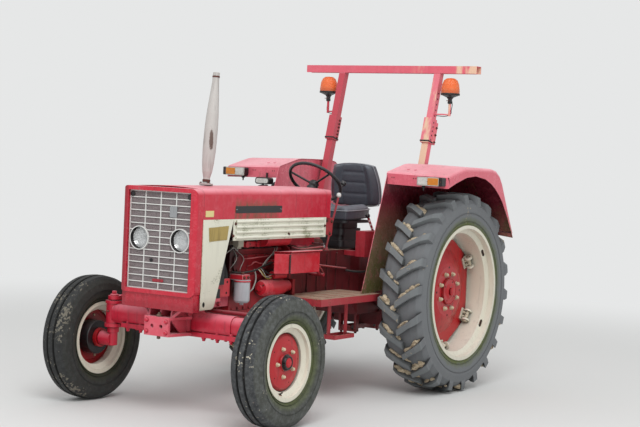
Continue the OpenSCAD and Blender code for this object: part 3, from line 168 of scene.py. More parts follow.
def enamel(
    name, paint, chalk, grime_and_shade=0.35, rust=0.2, gloss=0.34, chips=0.25, dust=0.15, edge=2.5, bloom=0.18,
    metal=0,
):
    """Old oil paint on steel: chalked where it faces the sky, greasy and painted dark as shade in corners,
    chipped on edges.
    The figures say how much of each there is, from 0 to 1; edge is the corners' radius in millimetres."""
    material, tree, shader = new_material(name)
    coords = add(tree, "TexCoord").outputs
    up = add(tree, "SeparateXYZ", [coords["Normal"]]).outputs["Z"]
    # Patches 350 mm across, blotches 60 mm, chips 14 mm, and the brushed paint's own grain of 5 mm
    patches, blotches, flakes, grain = [
        add(
            tree, "TexNoise",
            {"Vector": coords["Object"], "Scale": 1 / size, "Detail": detail, "Roughness": rough},
        )
        for size, detail, rough in ((0.35, 6, 0.6), (0.06, 5, 0.65), (0.014, 3, 0.6), (0.005, 2, 0.5))
    ]
    # Rain runs 25 mm wide and ten times as long
    drawn_out = add(
        tree, "Mapping", {"Vector": coords["Object"], "Scale": (1 / 0.025, 1 / 0.025, 1 / 0.25)},
    )
    runs = add(tree, "TexNoise", {"Vector": drawn_out, "Scale": 1, "Detail": 3, "Roughness": 0.6})
    # Chalking on the upper faces, uneven as the patches are
    level = add(tree, "MapRange", [up, 0.0, 0.9])
    uneven = add(tree, "MapRange", [patches, 0.3, 0.7, 0.6, 1.15])
    chalked = add(tree, "Math", [level, uneven], operation="MULTIPLY", use_clamp=True)
    blooming = add(tree, "MapRange", [blotches, 0.45, 0.85, 0, bloom])
    pale = add(tree, "Math", [chalked, blooming], operation="MAXIMUM")
    colour = add(tree, "Mix", {0: pale, 6: paint, 7: chalk}, data_type="RGBA")
    # Painted shade and grease in corners, road dirt in the runs, dust on what is level
    open_air = add(tree, "AmbientOcclusion", {"Distance": 0.07}, samples=4)
    corner = add(tree, "MapRange", [open_air.outputs["AO"], 0.8, 0.25, 0, min(1.0, 1.8 * grime_and_shade)])
    streak = add(tree, "MapRange", [runs, 0.54, 0.8, 0, grime_and_shade])
    dirt_and_shade = add(tree, "Math", [corner, streak], operation="MAXIMUM")
    dirty_and_shaded = add(tree, "Mix", {0: dirt_and_shade, 6: colour, 7: GREASE_AND_SHADE}, data_type="RGBA")
    dust_field = add(tree, "Math", [level, blotches], operation="MULTIPLY")
    dust_share = add(tree, "MapRange", [dust_field, 0.35, 0.7, 0, dust])
    dusty = add(tree, "Mix", {0: dust_share, 6: dirty_and_shaded, 7: DUST}, data_type="RGBA")
    # Rust breaks out where flakes and blotches meet, and along chipped edges
    rounded = add(tree, "Bevel", {"Radius": edge / 1000}, samples=4)
    flat = add(tree, "NewGeometry").outputs["Normal"]
    bend = add(tree, "VectorMath", [rounded, flat], operation="DOT_PRODUCT")
    on_edge = add(tree, "MapRange", [bend, 0.97, 0.8, 0, 0.22])
    field = add(tree, "Math", [flakes, blotches], operation="ADD")
    edge_field = add(tree, "Math", [field, on_edge], operation="ADD")
    chip = add(tree, "MapRange", [edge_field, 1.42 - 0.2 * chips, 1.45 - 0.2 * chips])
    rust_share = add(tree, "MapRange", [field, 1.36 - 0.3 * rust, 1.48 - 0.3 * rust, 0, 0.9])
    bare = add(tree, "Mix", {0: grain, 6: RUST, 7: BARE_STEEL}, data_type="RGBA")
    chipped = add(tree, "Mix", {0: chip, 6: dusty, 7: bare}, data_type="RGBA")
    rusty = add(tree, "Mix", {0: rust_share, 6: chipped, 7: RUST}, data_type="RGBA")
    # Dull where it is chalked, dusty or rusty
    dull = add(tree, "Math", [pale, rust_share], operation="MAXIMUM")
    duller = add(tree, "Math", [dull, dust_share], operation="ADD", use_clamp=True)
    rough = add(tree, "MapRange", [duller, 0, 1, gloss, min(1, gloss + 0.32)])
    height = add(tree, "Math", [grain, chip], operation="SUBTRACT")
    bump = add(tree, "Bump", {"Height": height, "Normal": rounded, "Strength": 0.35, "Distance": 0.0006})
    feed(shader, {"Base Color": rusty, "Roughness": rough, "Normal": bump, "Metallic": metal})
    return material


def dress(material, *names):
    for name in names:
        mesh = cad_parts[name].data
        mesh.materials.clear()
        mesh.materials.append(material)


def block(low, high):
    points = [(x, y, z) for x in (low[0], high[0]) for y in (low[1], high[1]) for z in (low[2], high[2])]
    return points, [(0, 1, 3, 2), (4, 6, 7, 5), (0, 4, 5, 1), (2, 3, 7, 6), (0, 2, 6, 4), (1, 5, 7, 3)]


def tube(inner, outer, low, high):
    return [(inner, low), (outer, low), (outer, high), (inner, high)]


def turned(profile, at, axis, steps=28):
    """Turns pairs of radius and height about an axis through the point at."""
    turn = Vector(axis).to_track_quat("Z", "Y")
    points, faces = [], []
    rows = len(profile)
    for i in range(steps):
        a = 2 * pi * i / steps
        points += [Vector(at) + turn @ Vector((r * cos(a), r * sin(a), h)) for r, h in profile]
        k = (i + 1) % steps
        faces += [(i * rows + j, k * rows + j, k * rows + j + 1, i * rows + j + 1) for j in range(rows - 1)]
    return points, faces


def bolt(at, axis, flat, washer=True, shank=0.0):
    """A hexagon head or nut with its washer; shank is how far the thread stands out of a nut."""
    corner = flat / sqrt(3)
    high = 0.65 * flat
    head = [(0, 0), (corner, 0), (corner, 0.85 * high), (0.86 * corner, high), (0, high)]
    shapes = [turned(head, at, axis, 6)]
    if washer:
        shapes.append(turned(tube(0, 1.25 * corner, 0, 0.12 * flat), at, axis, 20))
    if shank:
        end = [
            (0, 0), (0.3 * flat, 0), (0.3 * flat, high + shank - 0.002), (0.22 * flat, high + shank),
            (0, high + shank),
        ]
        shapes.append(turned(end, at, axis, 12))
    return shapes


def mount(name, data, body):
    thing = bpy.data.objects.new(name, data)
    bpy.context.scene.collection.objects.link(thing)
    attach(thing, body)
    return thing


def piece(name, shapes, material, body="chassis", edge=0, smooth=40):
    """Joins shapes into one piece that rides on a CAD body; edge is the rounding of its corners in metres."""
    form = bmesh.new()
    for points, faces in shapes:
        made = [form.verts.new(p) for p in points]
        for face in faces:
            form.faces.new([made[i] for i in face])
    bmesh.ops.remove_doubles(form, verts=form.verts, dist=1e-6)
    bmesh.ops.recalc_face_normals(form, faces=form.faces)
    mesh = bpy.data.meshes.new(name)
    form.to_mesh(mesh)
    form.free()
    mesh.materials.append(material)
    mesh.shade_smooth()
    mesh.set_sharp_from_angle(angle=radians(smooth))
    thing = mount(name, mesh, body)
    if edge:
        bevel = thing.modifiers.new("edge", "BEVEL")
        bevel.width = edge
        bevel.segments = 2
        bevel.limit_method = "ANGLE"
        bevel.angle_limit = radians(smooth)
    return thing


AXLE_Y = -1.380
KINGPIN_X = 0.600
SIDES = ((1, "left"), (-1, "right"))
axle_enamel = enamel("brushed_crimson_enamel", CRIMSON, CHALK, grime_and_shade=0.4, rust=0.25, chips=0.35)
dress(axle_enamel, "front_axle")
support_enamel = enamel(
    "pale_chipped_crimson_enamel", "#db5667", "#eda0aa", grime_and_shade=0.2, rust=0.3, chips=0.6, bloom=0.4,
)
dress(support_enamel, "front_support")
# Bolts in the clamp flange under the beam, two rows, and the cap nuts on the tow bracket's face
bolts = []
for side in (-1, 1):
    for x in (0.430, 0.320, 0.210):
        for y in (-0.046, 0.046):
            bolts += bolt((side * x, AXLE_Y + y, 0.5125), (0, 0, -1), 0.020, washer=False)
            bolts += bolt((side * x, AXLE_Y + y, 0.5525), (0, 0, 1), 0.024)
for side in (-1, 1):
    for z in (0.628, 0.556):
        bolts += bolt((side * 0.080, -1.660, z), (0, -1, 0), 0.022)
    for z in (0.72, 0.752):
        bolts += bolt((side * 0.145, -1.20, z), (side, 0, 0), 0.022)
piece("axle_bolts", bolts, axle_enamel)

# Tow pin
# A turned steel pin with a ring, dropped through the two plates of the tow
# bracket. It is never painted and has rusted brown.
rust_steel = enamel(
    "rusty_bare_steel", "#6f5a4c", "#8d7a69", grime_and_shade=0.5, rust=0.8, gloss=0.6, chips=0.5, edge=1,
)
tow_pin = [
    turned(
        [
            (0, 0), (0.012, 0.004), (0.012, 0.150), (0.021, 0.150), (0.021, 0.158), (0.012, 0.163),
            (0.009, 0.176), (0, 0.178),
        ],
        (0, -1.632, 0.506), (0, 0, 1),
    )
]
piece("tow_pin", tow_pin, rust_steel)

# Steering knuckles and tie rod
# Forged steel. A nut holds each steering arm on its kingpin, and the balls at
# the tie rod's ends sit under rubber boots.
dress(axle_enamel, "knuckle_left", "knuckle_right")
old_enamel = enamel(
    "worn_crimson_enamel", "#93222f", "#b4606a", grime_and_shade=0.65, rust=0.6, gloss=0.46, chips=0.5, dust=0.3,
)
dress(old_enamel, "tie_rod")
rubber_boot = enamel(
    "black_rubber", "#1e1f20", "#343536", grime_and_shade=0.3, rust=0, gloss=0.6, chips=0, dust=0.35, edge=1,
)
for side, label in SIDES:
    knuckle = "knuckle_" + label
    # Cap and nut on the kingpin, and the grease nipple in front of the housing's foot
    cap = [turned(
        [(0, 0), (0.030, 0), (0.030, 0.006), (0.024, 0.012), (0, 0.014)],
        (side * KINGPIN_X, AXLE_Y, 0.7221), (0, 0, 1),
    )]
    cap += bolt((side * KINGPIN_X, AXLE_Y, 0.735), (0, 0, 1), 0.030, washer=False)
    cap += bolt((side * (KINGPIN_X - 0.055), AXLE_Y + 0.018, 0.722), (0, 0, 1), 0.018)
    piece("kingpin_cap_" + label, cap, axle_enamel, knuckle)
    nipple = [turned(
        [(0, 0), (0.005, 0), (0.005, 0.008), (0.003, 0.011), (0.004, 0.016), (0, 0.018)],
        (side * KINGPIN_X, AXLE_Y - 0.0515, 0.62), (0, -1, 0), 10,
    )]
    piece("grease_nipple_" + label, nipple, rust_steel)
    ball = (side * KINGPIN_X, AXLE_Y + 0.150)
    nut = bolt((*ball, 0.7205), (0, 0, 1), 0.024, shank=0.008)
    piece("tie_rod_nut_" + label, nut, rust_steel, "tie_rod")
    boot = [(0.010, 0), (0.024, 0.002), (0.026, 0.006), (0.018, 0.012), (0.015, 0.016)]
    piece(
        "tie_rod_boot_" + label, [turned(boot, (*ball, 0.678), (0, 0, 1))], rubber_boot,
        "tie_rod",
    )
    # Clamp that locks the rod's end
    x = side * (KINGPIN_X - 0.085)
    clamp = [turned(
        [(0.0152, -0.012), (0.022, -0.012), (0.022, 0.012), (0.0152, 0.012), (0.0152, -0.012)],
        (x, AXLE_Y + 0.150, 0.675), (1, 0, 0),
    )]
    clamp += bolt((x, AXLE_Y + 0.158, 0.648), (0, 1, 0), 0.013)
    piece("tie_rod_clamp_" + label, clamp, old_enamel, "tie_rod", edge=0.001)

# Front tyres
# Ribbed steering tyres of black rubber that has greyed outdoors. Moss grows on
# the walls, and flakes of pale dried mud stick to the ribs.
FRONT_X, FRONT_Z = 0.779, 0.425


def tyre_rubber(name, centre, wall, tread, tread_from, rim_r, moss, mud, mud_colour):
    """Weathered tyre rubber, with painted shade in its hollows and on the right-hand tyres. Its tones follow
    the distance from the wheel's axis, in metres.
    Moss and mud run from 0 to 1."""
    material, tree, shader = new_material(name)
    coords = add(tree, "TexCoord").outputs["Object"]
    off = add(tree, "VectorMath", [coords, (0, centre[0], centre[1])], operation="SUBTRACT")
    in_plane = add(tree, "VectorMath", [off, (0, 1, 1)], operation="MULTIPLY")
    radius = add(tree, "VectorMath", [in_plane], operation="LENGTH")
    # Clouds 200 mm across, scuffs 30 mm, flakes 20 mm, and the mould's fine grain of 3 mm
    clouds = add(tree, "TexNoise", {"Vector": coords, "Scale": 1 / 0.2, "Detail": 6, "Roughness": 0.6})
    scuffs = add(tree, "TexNoise", {"Vector": coords, "Scale": 1 / 0.03, "Detail": 5, "Roughness": 0.7})
    flakes = add(
        tree, "TexNoise",
        {"Vector": coords, "Scale": 1 / 0.02, "Detail": 3, "Roughness": 0.55, "Distortion": 0.6},
    )
    grain = add(tree, "TexNoise", {"Vector": coords, "Scale": 1 / 0.003, "Detail": 2})
    on_tread = add(tree, "MapRange", [radius, tread_from, tread_from + 0.012])
    colour = add(tree, "Mix", {0: on_tread, 6: wall, 7: tread}, data_type="RGBA")
    greyed = add(tree, "MapRange", [scuffs, 0.42, 0.72, 0, 0.5])
    grey = add(tree, "Mix", {0: greyed, 6: colour, 7: "#76797a"}, data_type="RGBA")
    # Moss is thickest beside the rim and thins out over the wall
    by_rim = add(tree, "MapRange", [radius, rim_r + 0.13, rim_r + 0.01, 0.0, 1.0])
    patchy = add(tree, "Math", [clouds, scuffs], operation="ADD")
    moss_field = add(tree, "Math", [patchy, by_rim], operation="MULTIPLY")
    moss_share = add(tree, "MapRange", [moss_field, 0.45, 1.0, 0, moss])
    mossy = add(tree, "Mix", {0: moss_share, 6: grey, 7: "#5c6537"}, data_type="RGBA")
    # Dried mud flakes on the tread, dust on the wall
    flake_field = add(tree, "Math", [flakes, clouds], operation="ADD")
    more = add(tree, "Math", [on_tread, 0.07], operation="MULTIPLY")
    flake_more = add(tree, "Math", [flake_field, more], operation="ADD")
    flake_share = add(tree, "MapRange", [flake_more, 1.36 - 0.12 * mud, 1.4 - 0.12 * mud, 0, 0.85])
    muddy = add(tree, "Mix", {0: flake_share, 6: mossy, 7: mud_colour}, data_type="RGBA")
    # Painted shade in the hollows between the ribs and lugs
    hollow = add(tree, "AmbientOcclusion", {"Distance": 0.07}, samples=4)
    deep = add(tree, "MapRange", [hollow.outputs["AO"], 0.85, 0.3, 0, 0.8])
    shaded = add(tree, "Mix", {0: deep, 6: muddy, 7: "#1d1c1a"}, data_type="RGBA")
    # The right-hand tyres are painted darker, as shade
    right = add(tree, "SeparateXYZ", [coords]).outputs["X"]
    shade = add(tree, "MapRange", [right, 0.0, -0.01, 0, 0.7])
    with_right_side_shade = add(tree, "Mix", {0: shade, 6: shaded, 7: "#232423"}, data_type="RGBA")
    rounded = add(tree, "Bevel", {"Radius": 0.004}, samples=4)
    height = add(tree, "Math", [scuffs, grain], operation="ADD")
    raised = add(tree, "Math", [height, flake_share], operation="ADD")
    bump = add(tree, "Bump", {"Height": raised, "Normal": rounded, "Strength": 0.5, "Distance": 0.0018})
    feed(shader, {"Base Color": with_right_side_shade, "Roughness": 0.72, "Specular IOR Level": 0.4, "Normal": bump})
    return material


def wall_rings(centre, rows, foot, top, sink, rise, steps):
    """Moulded rings on both walls of a tyre, from pairs of a ring's radius and its place outwards.
    Foot and top are half a ring's widths, and it stands from sink below the wall to rise above it."""
    rings = []
    for face in (-1, 1):
        for r, out in rows:
            ring = [
                (r - foot, out - sink), (r - top, out + rise), (r + top, out + rise),
                (r + foot, out - sink),
            ]
            rings.append(turned(ring, centre, (face, 0, 0), steps))
    return rings


front_rubber = tyre_rubber(
    "front_tyre_rubber", (AXLE_Y, FRONT_Z), "#454742", "#333537", 0.395, 0.235, 0.95, 1.0, "#cfc7b2",
)
dress(front_rubber, "front_tyre_left", "front_tyre_right")
for side, label in SIDES:
    # Moulded rings on both walls, the outer two side by side
    rows = ((0.2665, 0.0885), (0.322, 0.1046), (0.328, 0.1048))
    rings = wall_rings((side * FRONT_X, AXLE_Y, FRONT_Z), rows, 0.0022, 0.001, 0.004, 0.0014, 96)
    piece("front_wall_rings_" + label, rings, front_rubber, "front_wheel_" + label)

# Front rims
# Rolled steel rims in cream enamel. Water has run from the valve's slot and
# stained them brown, and a rubber valve stem stands in the slot.
rim_enamel = enamel(
    "cream_rim_enamel", "#dcd8c6", "#e9e6d8", grime_and_shade=0.22, rust=0.22, gloss=0.36, chips=0.3, dust=0.1,
)
dress(rim_enamel, "front_rim_left", "front_rim_right")
# Holes and slots are drawn as black plates, painted shade where one looks into them
hole_shade_black, tree, shader = new_material("painted_shade_in_holes")
feed(shader, {"Base Color": "#0b0908", "Roughness": 0.9})


def spoke(angle):
    return Vector((0, cos(angle), sin(angle)))


def well_normal(side, angle, outwards, down):
    """Which way the slope of a rim's well faces; outwards and down are its run and its depth."""
    slope = Vector((side * outwards, 0, 0)) + spoke(angle) * down
    out = slope.cross(Vector((0, -sin(angle), cos(angle)))).normalized()
    return -out if out.dot(spoke(angle)) > 0 else out


def slot_plate(at, along, out, long, wide, proud=0.0004):
    """A long hole's outline with round ends, laid on a surface that faces out."""
    out = Vector(out).normalized()
    along = Vector(along).normalized()
    across = out.cross(along)
    points = []
    for half in (1, -1):
        for k in range(9):
            a = pi * (k / 8 - 0.5)
            points.append(half * ((long - wide) / 2 + wide / 2 * cos(a)) * along)
            points[-1] += half * wide / 2 * sin(a) * across
    rim = [Vector(at) + p + out * proud for p in points]
    foot = [Vector(at) + p - out * 0.002 for p in points]
    count = len(points)
    sides = [(k, (k + 1) % count, count + (k + 1) % count, count + k) for k in range(count)]
    return rim + foot, [tuple(range(count))] + sides


rust_stain = enamel(
    "orange_rust_stain", "#a5622f", "#b98052", grime_and_shade=0.2, rust=0.3, gloss=0.7, chips=0.1, edge=1,
)
for side, label in SIDES:
    body = "front_wheel_" + label
    angle = radians(-104)
    radial, round_the_rim = spoke(angle), Vector((0, -sin(angle), cos(angle)))
    centre = Vector((side * FRONT_X, AXLE_Y, FRONT_Z))
    # The slope of the well, from the drop to the disc
    out = well_normal(side, angle, 0.057 - 0.039, 0.220 - 0.189)
    at = centre + Vector((side * 0.048, 0, 0)) + radial * 0.2045
    stain = [slot_plate(at, round_the_rim, out, 0.052, 0.017, 0.0003)]
    piece("valve_slot_edge_" + label, stain, rust_stain, body)
    piece(
        "valve_slot_" + label,
        [slot_plate(at + round_the_rim * 0.006, round_the_rim, out, 0.036, 0.009, 0.0006)], hole_shade_black,
        body,
    )
    stem = [turned(
        [(0.0042, -0.002), (0.004, 0.016), (0.0048, 0.018), (0.0048, 0.028), (0.003, 0.030), (0, 0.030)],
        at - round_the_rim * 0.012, out, 12,
    )]
    piece("valve_stem_" + label, stem, rubber_boot, body)

# Front discs and hubs
# Pressed discs in red enamel. Five wheel nuts with domed, brassy caps hold each,
# and a notched black ring grips the hub's red cap.
NUT_CIRCLE = 0.0925
disc_enamel = enamel(
    "crimson_disc_enamel", "#b50d1a", "#b81f2b", grime_and_shade=0.7, rust=0.2, gloss=0.3, chips=0.35, dust=0.05,
    bloom=0.06,
)
dress(disc_enamel, "front_disc_left", "front_disc_right", "rear_disc_left", "rear_disc_right")
brass_plate = enamel(
    "yellow_zinc_plate", "#cfbd9c", "#e6dac0", grime_and_shade=0.4, rust=0.3, gloss=0.22, chips=0.1, dust=0.1, edge=1,
)
ring_enamel = enamel(
    "black_ring_enamel", "#1c1b1d", "#37373a", grime_and_shade=0.3, rust=0.1, gloss=0.32, chips=0.2, dust=0.2,
    edge=1.5,
)


def domed_nut(at, axis, flat):
    corner = flat / sqrt(3)
    skirt = [(0, 0), (corner, 0), (corner, 0.55 * flat), (0.9 * corner, 0.62 * flat), (0, 0.62 * flat)]
    dome = [(0.43 * flat * cos(k * pi / 12), 0.6 * flat + 0.42 * flat * sin(k * pi / 12)) for k in range(7)]
    seat = [(0, 0), (1.15 * corner, 0), (1.02 * corner, 0.14 * flat), (0, 0.14 * flat)]
    return [
        turned(skirt, at, axis, 6), turned([(0.43 * flat, 0.5 * flat)] + dome, at, axis, 16),
        turned(seat, at, axis, 20),
    ]


for side, label in SIDES:
    body = "front_wheel_" + label
    centre = Vector((side * FRONT_X, AXLE_Y, FRONT_Z))
    nuts, studs, holes = [], [], []
    for k in range(5):
        a = radians(112 + 72 * k)
        nuts += domed_nut(
            centre + spoke(a) * NUT_CIRCLE + Vector((side * 0.0459, 0, 0)), (side, 0, 0), 0.022,
        )
        a += radians(36)
        holes.append(turned(
            [(0.0048, -0.002), (0.0048, 0.0004), (0, 0.0004)],
            centre + spoke(a) * 0.140 + Vector((side * 0.0422, 0, 0)), (side, 0, 0), 14,
        ))
        rivet = [(0, -0.002), (0.0085, -0.002), (0.0085, 0.005), (0.006, 0.009), (0, 0.010)]
        studs.append(turned(
            rivet, centre + spoke(a) * 0.148 + Vector((side * 0.031, 0, 0)), (-side, 0, 0), 14,
        ))
    piece("wheel_nuts_front_" + label, nuts, brass_plate, body)
    piece("disc_rivets_front_" + label, studs, brass_plate, body)
    piece("disc_holes_front_" + label, holes, hole_shade_black, body)
    # Notched ring round the cap
    band = [
        (0.0365, 0.0545), (0.047, 0.0545), (0.047, 0.070), (0.043, 0.075), (0.0365, 0.075),
        (0.0335, 0.0725),
    ]
    points, faces = turned(band, centre, (side, 0, 0), 60)
    rows = len(band)
    for k in range(60):
        if k % 10 in (0, 1):
            for j in (1, 2):
                inward = points[k * rows + j] - centre
                inward.x = 0
                points[k * rows + j] -= inward * 0.12
    piece("hub_ring_" + label, [(points, faces)], ring_enamel, body, edge=0.0012)
    collar = [
        (0.0365, 0.0535), (0.0535, 0.0538), (0.0535, 0.0548), (0.0475, 0.0560), (0.0475, 0.0600),
        (0.0365, 0.0600),
    ]
    piece(
        "hub_collar_" + label, [turned(collar, centre, (side, 0, 0), 40)], ring_enamel, body,
    )
    # Brake drum's rim behind the disc
    drum = [
        (0.052, -0.052), (0.110, -0.052), (0.115, -0.047), (0.115, 0.0362), (0.108, 0.0362),
        (0.108, -0.044), (0.052, -0.044),
    ]
    piece(
        "hub_drum_" + label, [turned(drum, centre, (side, 0, 0), 48)], ring_enamel, body,
        edge=0.001,
    )

# Rear tyres
# Lugged field tyres. The walls are grey with a green band of moss at the rim,
# the lugs are scuffed pale, and straw and mud have dried between them.
REAR_X, REAR_Y, REAR_Z = 0.750, 0.860, 0.750
LUG_COUNT = 22
rear_rubber = tyre_rubber(
    "rear_tyre_rubber", (REAR_Y, REAR_Z), "#707376", "#777c7e", 0.716, 0.500, 1.0, 0.55, "#b3a587",
)
dress(rear_rubber, "rear_tyre_left", "rear_tyre_right")

dried_mud, tree, shader = new_material("straw_and_dried_mud")
coords = add(tree, "TexCoord").outputs["Object"]
# Clods 25 mm across, and chopped straw whose stems lie 6 mm apart
clods = add(tree, "TexNoise", {"Vector": coords, "Scale": 1 / 0.025, "Detail": 5, "Roughness": 0.7})
straw = add(tree, "TexVoronoi", {"Vector": coords, "Scale": 1 / 0.006, "Randomness": 1.0}, feature="F1")
tone = add(tree, "MapRange", [clods, 0.35, 0.65])
earth = add(tree, "Mix", {0: tone, 6: "#8f7d66", 7: "#dccdb2"}, data_type="RGBA")
stems = add(tree, "MapRange", [straw, 0.1, 0.45])
mixed = add(tree, "Mix", {0: stems, 6: "#e2d6b8", 7: earth}, data_type="RGBA")
bump = add(tree, "Bump", {"Height": straw, "Strength": 0.8, "Distance": 0.004})
feed(shader, {"Base Color": mixed, "Roughness": 0.95, "Specular IOR Level": 0.15, "Normal": bump})


def carcass_radius(x):
    """The tread's radius between the lugs at a distance x from the tyre's middle."""
    outline = [(0, 0.714), (0.0825, 0.714), (0.1365, 0.702), (0.1645, 0.669), (0.1725, 0.620)]
    for (x0, r0), (x1, r1) in zip(outline, outline[1:]):
        if x <= x1:
            return r0 + (r1 - r0) * (x - x0) / (x1 - x0)
    return outline[-1][1]


def lug_line(x):
    """How far back a lug's middle line lies at a distance x from the tyre's middle."""
    return -0.062 + 0.070 * (x + 0.014) / 0.10025 if x < 0.08625 else 0.008 + 0.054 * (x - 0.08625) / 0.08625


def clod(at, turn, size, dice):
    """A rough lump: a ball of 80 faces, flattened, turned and dented."""
    form = bmesh.new()
    bmesh.ops.create_icosphere(form, subdivisions=2, radius=1)
    points = []
    for vertex in form.verts:
        dent = dice.uniform(0.72, 1.15)
        points.append(Vector(at) + turn @ Vector([vertex.co[k] * size[k] * dent for k in range(3)]))
    faces = [tuple(v.index for v in face.verts) for face in form.faces]
    form.free()
    return points, faces


for side, label in SIDES:
    body = "rear_wheel_" + label
    centre = Vector((side * REAR_X, REAR_Y, REAR_Z))
    dice = random.Random(11 + side)
    clods_here = []
    for half in (-1, 1):
        for i in range(LUG_COUNT):
            turn = Matrix.Rotation(radians((i + (half + 1) / 4) * 360 / LUG_COUNT), 3, "X")
            thick = dice.random()
            for k in range(int(3 + 7 * thick)):
                x = dice.uniform(0.01, 0.135)
                back = lug_line(x) + 0.029 + dice.uniform(0, 0.014) * (1 + thick)
                slant = Matrix.Rotation(atan2(0.062, 0.09) * half, 3, "Z")
                high = carcass_radius(x) + dice.uniform(-0.002, 0.007)
                size = (
                    dice.uniform(0.018, 0.046), dice.uniform(0.009, 0.017 + 0.016 * thick),
                    dice.uniform(0.007, 0.013 + 0.014 * thick),
                )
                clods_here.append(clod(
                    centre + turn @ Vector((half * x, back, high)), turn @ slant, size, dice,
                ))
    piece("tread_mud_" + label, clods_here, dried_mud, body, smooth=60)
    rows = ((0.534, 0.1630), (0.5395, 0.1640), (0.597, 0.1710), (0.6025, 0.1714))
    rings = wall_rings(centre, rows, 0.003, 0.0012, 0.005, 0.0018, 120)
    piece("rear_wall_rings_" + label, rings, rear_rubber, body)

# Rear rims
# Wide rolled rims in the same cream enamel, with six forged brackets welded in.
# Two slots pass through the outer band, and rust has bled out of them.
SLOT_ANGLES = (38, -34)
bracket_enamel = enamel(
    "rusty_cream_casting", "#c9c1a6", "#dad3bf", grime_and_shade=0.55, rust=0.75, gloss=0.5, chips=0.6, dust=0.2,
)
dress(rim_enamel, "rear_rim_left", "rear_rim_right")
for side, label in SIDES:
    body = "rear_wheel_" + label
    centre = Vector((side * REAR_X, REAR_Y, REAR_Z))
    edges, gaps, pins = [], [], []
    for degrees in SLOT_ANGLES + tuple(a + 180 for a in SLOT_ANGLES):
        a = radians(degrees)
        radial, round_the_rim = spoke(a), Vector((0, -sin(a), cos(a)))
        out = well_normal(side, a, 0.121 - 0.103, 0.480 - 0.447)
        at = centre + Vector((side * 0.1125, 0, 0)) + radial * 0.4645
        edges.append(slot_plate(at, round_the_rim, out, 0.064, 0.024, 0.0004))
        gaps.append(slot_plate(at, round_the_rim, out, 0.050, 0.010, 0.0008))
        for end in (-1, 1):
            gaps.append(turned(
                [(0.0075, -0.002), (0.0075, 0.0009), (0, 0.0009)], at + round_the_rim * end * 0.024, out,
                14,
            ))
    piece("rim_slot_edges_" + label, edges, rust_steel, body)
    piece("rim_slots_" + label, gaps, hole_shade_black, body)
    for k in range(6):
        a = radians(60 * k)
        turn = Matrix.Rotation(a, 3, "X")
        for y in (-0.017, 0.017):
            at = centre + turn @ Vector((side * -0.0261, y, 0.405))
            pins += bolt(at, (side, 0, 0), 0.026, shank=0.008)
        # Wedge block between the two eyes, and the pin through them
        pins.append(turned(
            tube(0, 0.0155, -0.050, 0.050), centre + turn @ Vector((0, 0, 0.419)), turn @ Vector((0, 1, 0)),
            16,
        ))
        pins.append(turned(
            [(0, 0), (0.024, 0), (0.024, 0.008), (0, 0.011)], centre + turn @ Vector((0, 0.0455, 0.419)),
            turn @ Vector((0, 1, 0)), 6,
        ))
    piece("rim_bracket_bolts_" + label, pins, bracket_enamel, body, edge=0.001)

# Rear discs and hubs
# Dished hexagonal plates in red enamel with eight domed wheel nuts round the
# half shaft's flange.
for side, label in SIDES:
    body = "rear_wheel_" + label
    centre = Vector((side * REAR_X, REAR_Y, REAR_Z))
    nuts, holes = [], []
    for k in range(8):
        a = radians(22.5 + 45 * k)
        nuts += domed_nut(centre + spoke(a) * 0.1375 + Vector((side * 0.0219, 0, 0)), (side, 0, 0), 0.027)
        if k % 2:
            holes.append(turned(
                [(0.008, -0.002), (0.008, 0.0004), (0, 0.0004)],
                centre + spoke(a + 0.39) * 0.181 + Vector((side * 0.022, 0, 0)), (side, 0, 0), 16,
            ))
    for k in range(4):
        a = radians(60 + 90 * k)
        holes.append(turned(
            [(0.006, -0.002), (0.006, 0.0004), (0, 0.0004)],
            centre + spoke(a) * 0.079 + Vector((side * 0.036, 0, 0)), (side, 0, 0), 16,
        ))
    piece("wheel_nuts_rear_" + label, nuts, brass_plate, body)
    piece("disc_holes_rear_" + label, holes, hole_shade_black, body)
    ridge = [(0.0925, 0.034), (0.0955, 0.0385), (0.1005, 0.0385), (0.104, 0.0205)]
    centre_nut = [turned(ridge, centre, (side, 0, 0), 64)]
    centre_nut.append(turned(
        [(0, 0.045), (0.024, 0.045), (0.030, 0.050), (0.030, 0.058), (0.022, 0.063), (0, 0.065)], centre,
        (side, 0, 0), 32,
    ))
    piece("rear_hub_cap_" + label, centre_nut, disc_enamel, body)

# Engine
# Castings brushed crimson long ago, now dark with oil and road dirt. Covers
# are held by rows of hexagon bolts.
ENGINE_FRONT = -1.090
engine_enamel = enamel(
    "oily_crimson_cast_iron", "#9a1621", "#a53b44", grime_and_shade=0.85, rust=0.3, gloss=0.42, chips=0.3, dust=0.3,
)
# The block's upper front end, beside the fan, is painted near black: the shade deep in the bay, with oil and
# soot
engine_enamel, tree, shader, painted = repaint(engine_enamel)
where = add(tree, "SeparateXYZ", [add(tree, "TexCoord").outputs["Object"]]).outputs
by_fan = add(tree, "MapRange", [where["Y"], -0.88, -1.02])
high_up = add(tree, "MapRange", [where["Z"], 0.86, 0.98])
bay_shade_and_soot = add(tree, "Math", [by_fan, high_up], operation="MULTIPLY")
bay_shade_share = add(tree, "Math", [bay_shade_and_soot, 0.85], operation="MULTIPLY")
with_bay_shade = add(tree, "Mix", {0: bay_shade_share, 6: painted, 7: "#0f0b0b"}, data_type="RGBA")
feed(shader, {"Base Color": with_bay_shade})
dress(engine_enamel, "engine")
engine_bolts = []
for side in (-1, 1):
    for i in range(9):
        engine_bolts += bolt((side * 0.150, ENGINE_FRONT + 0.035 + i * 0.066, 0.680), (side, 0, 0), 0.015)
    for i in range(5):
        engine_bolts += bolt((side * 0.126, ENGINE_FRONT + 0.050 + i * 0.125, 1.090), (side, 0, 0), 0.017)
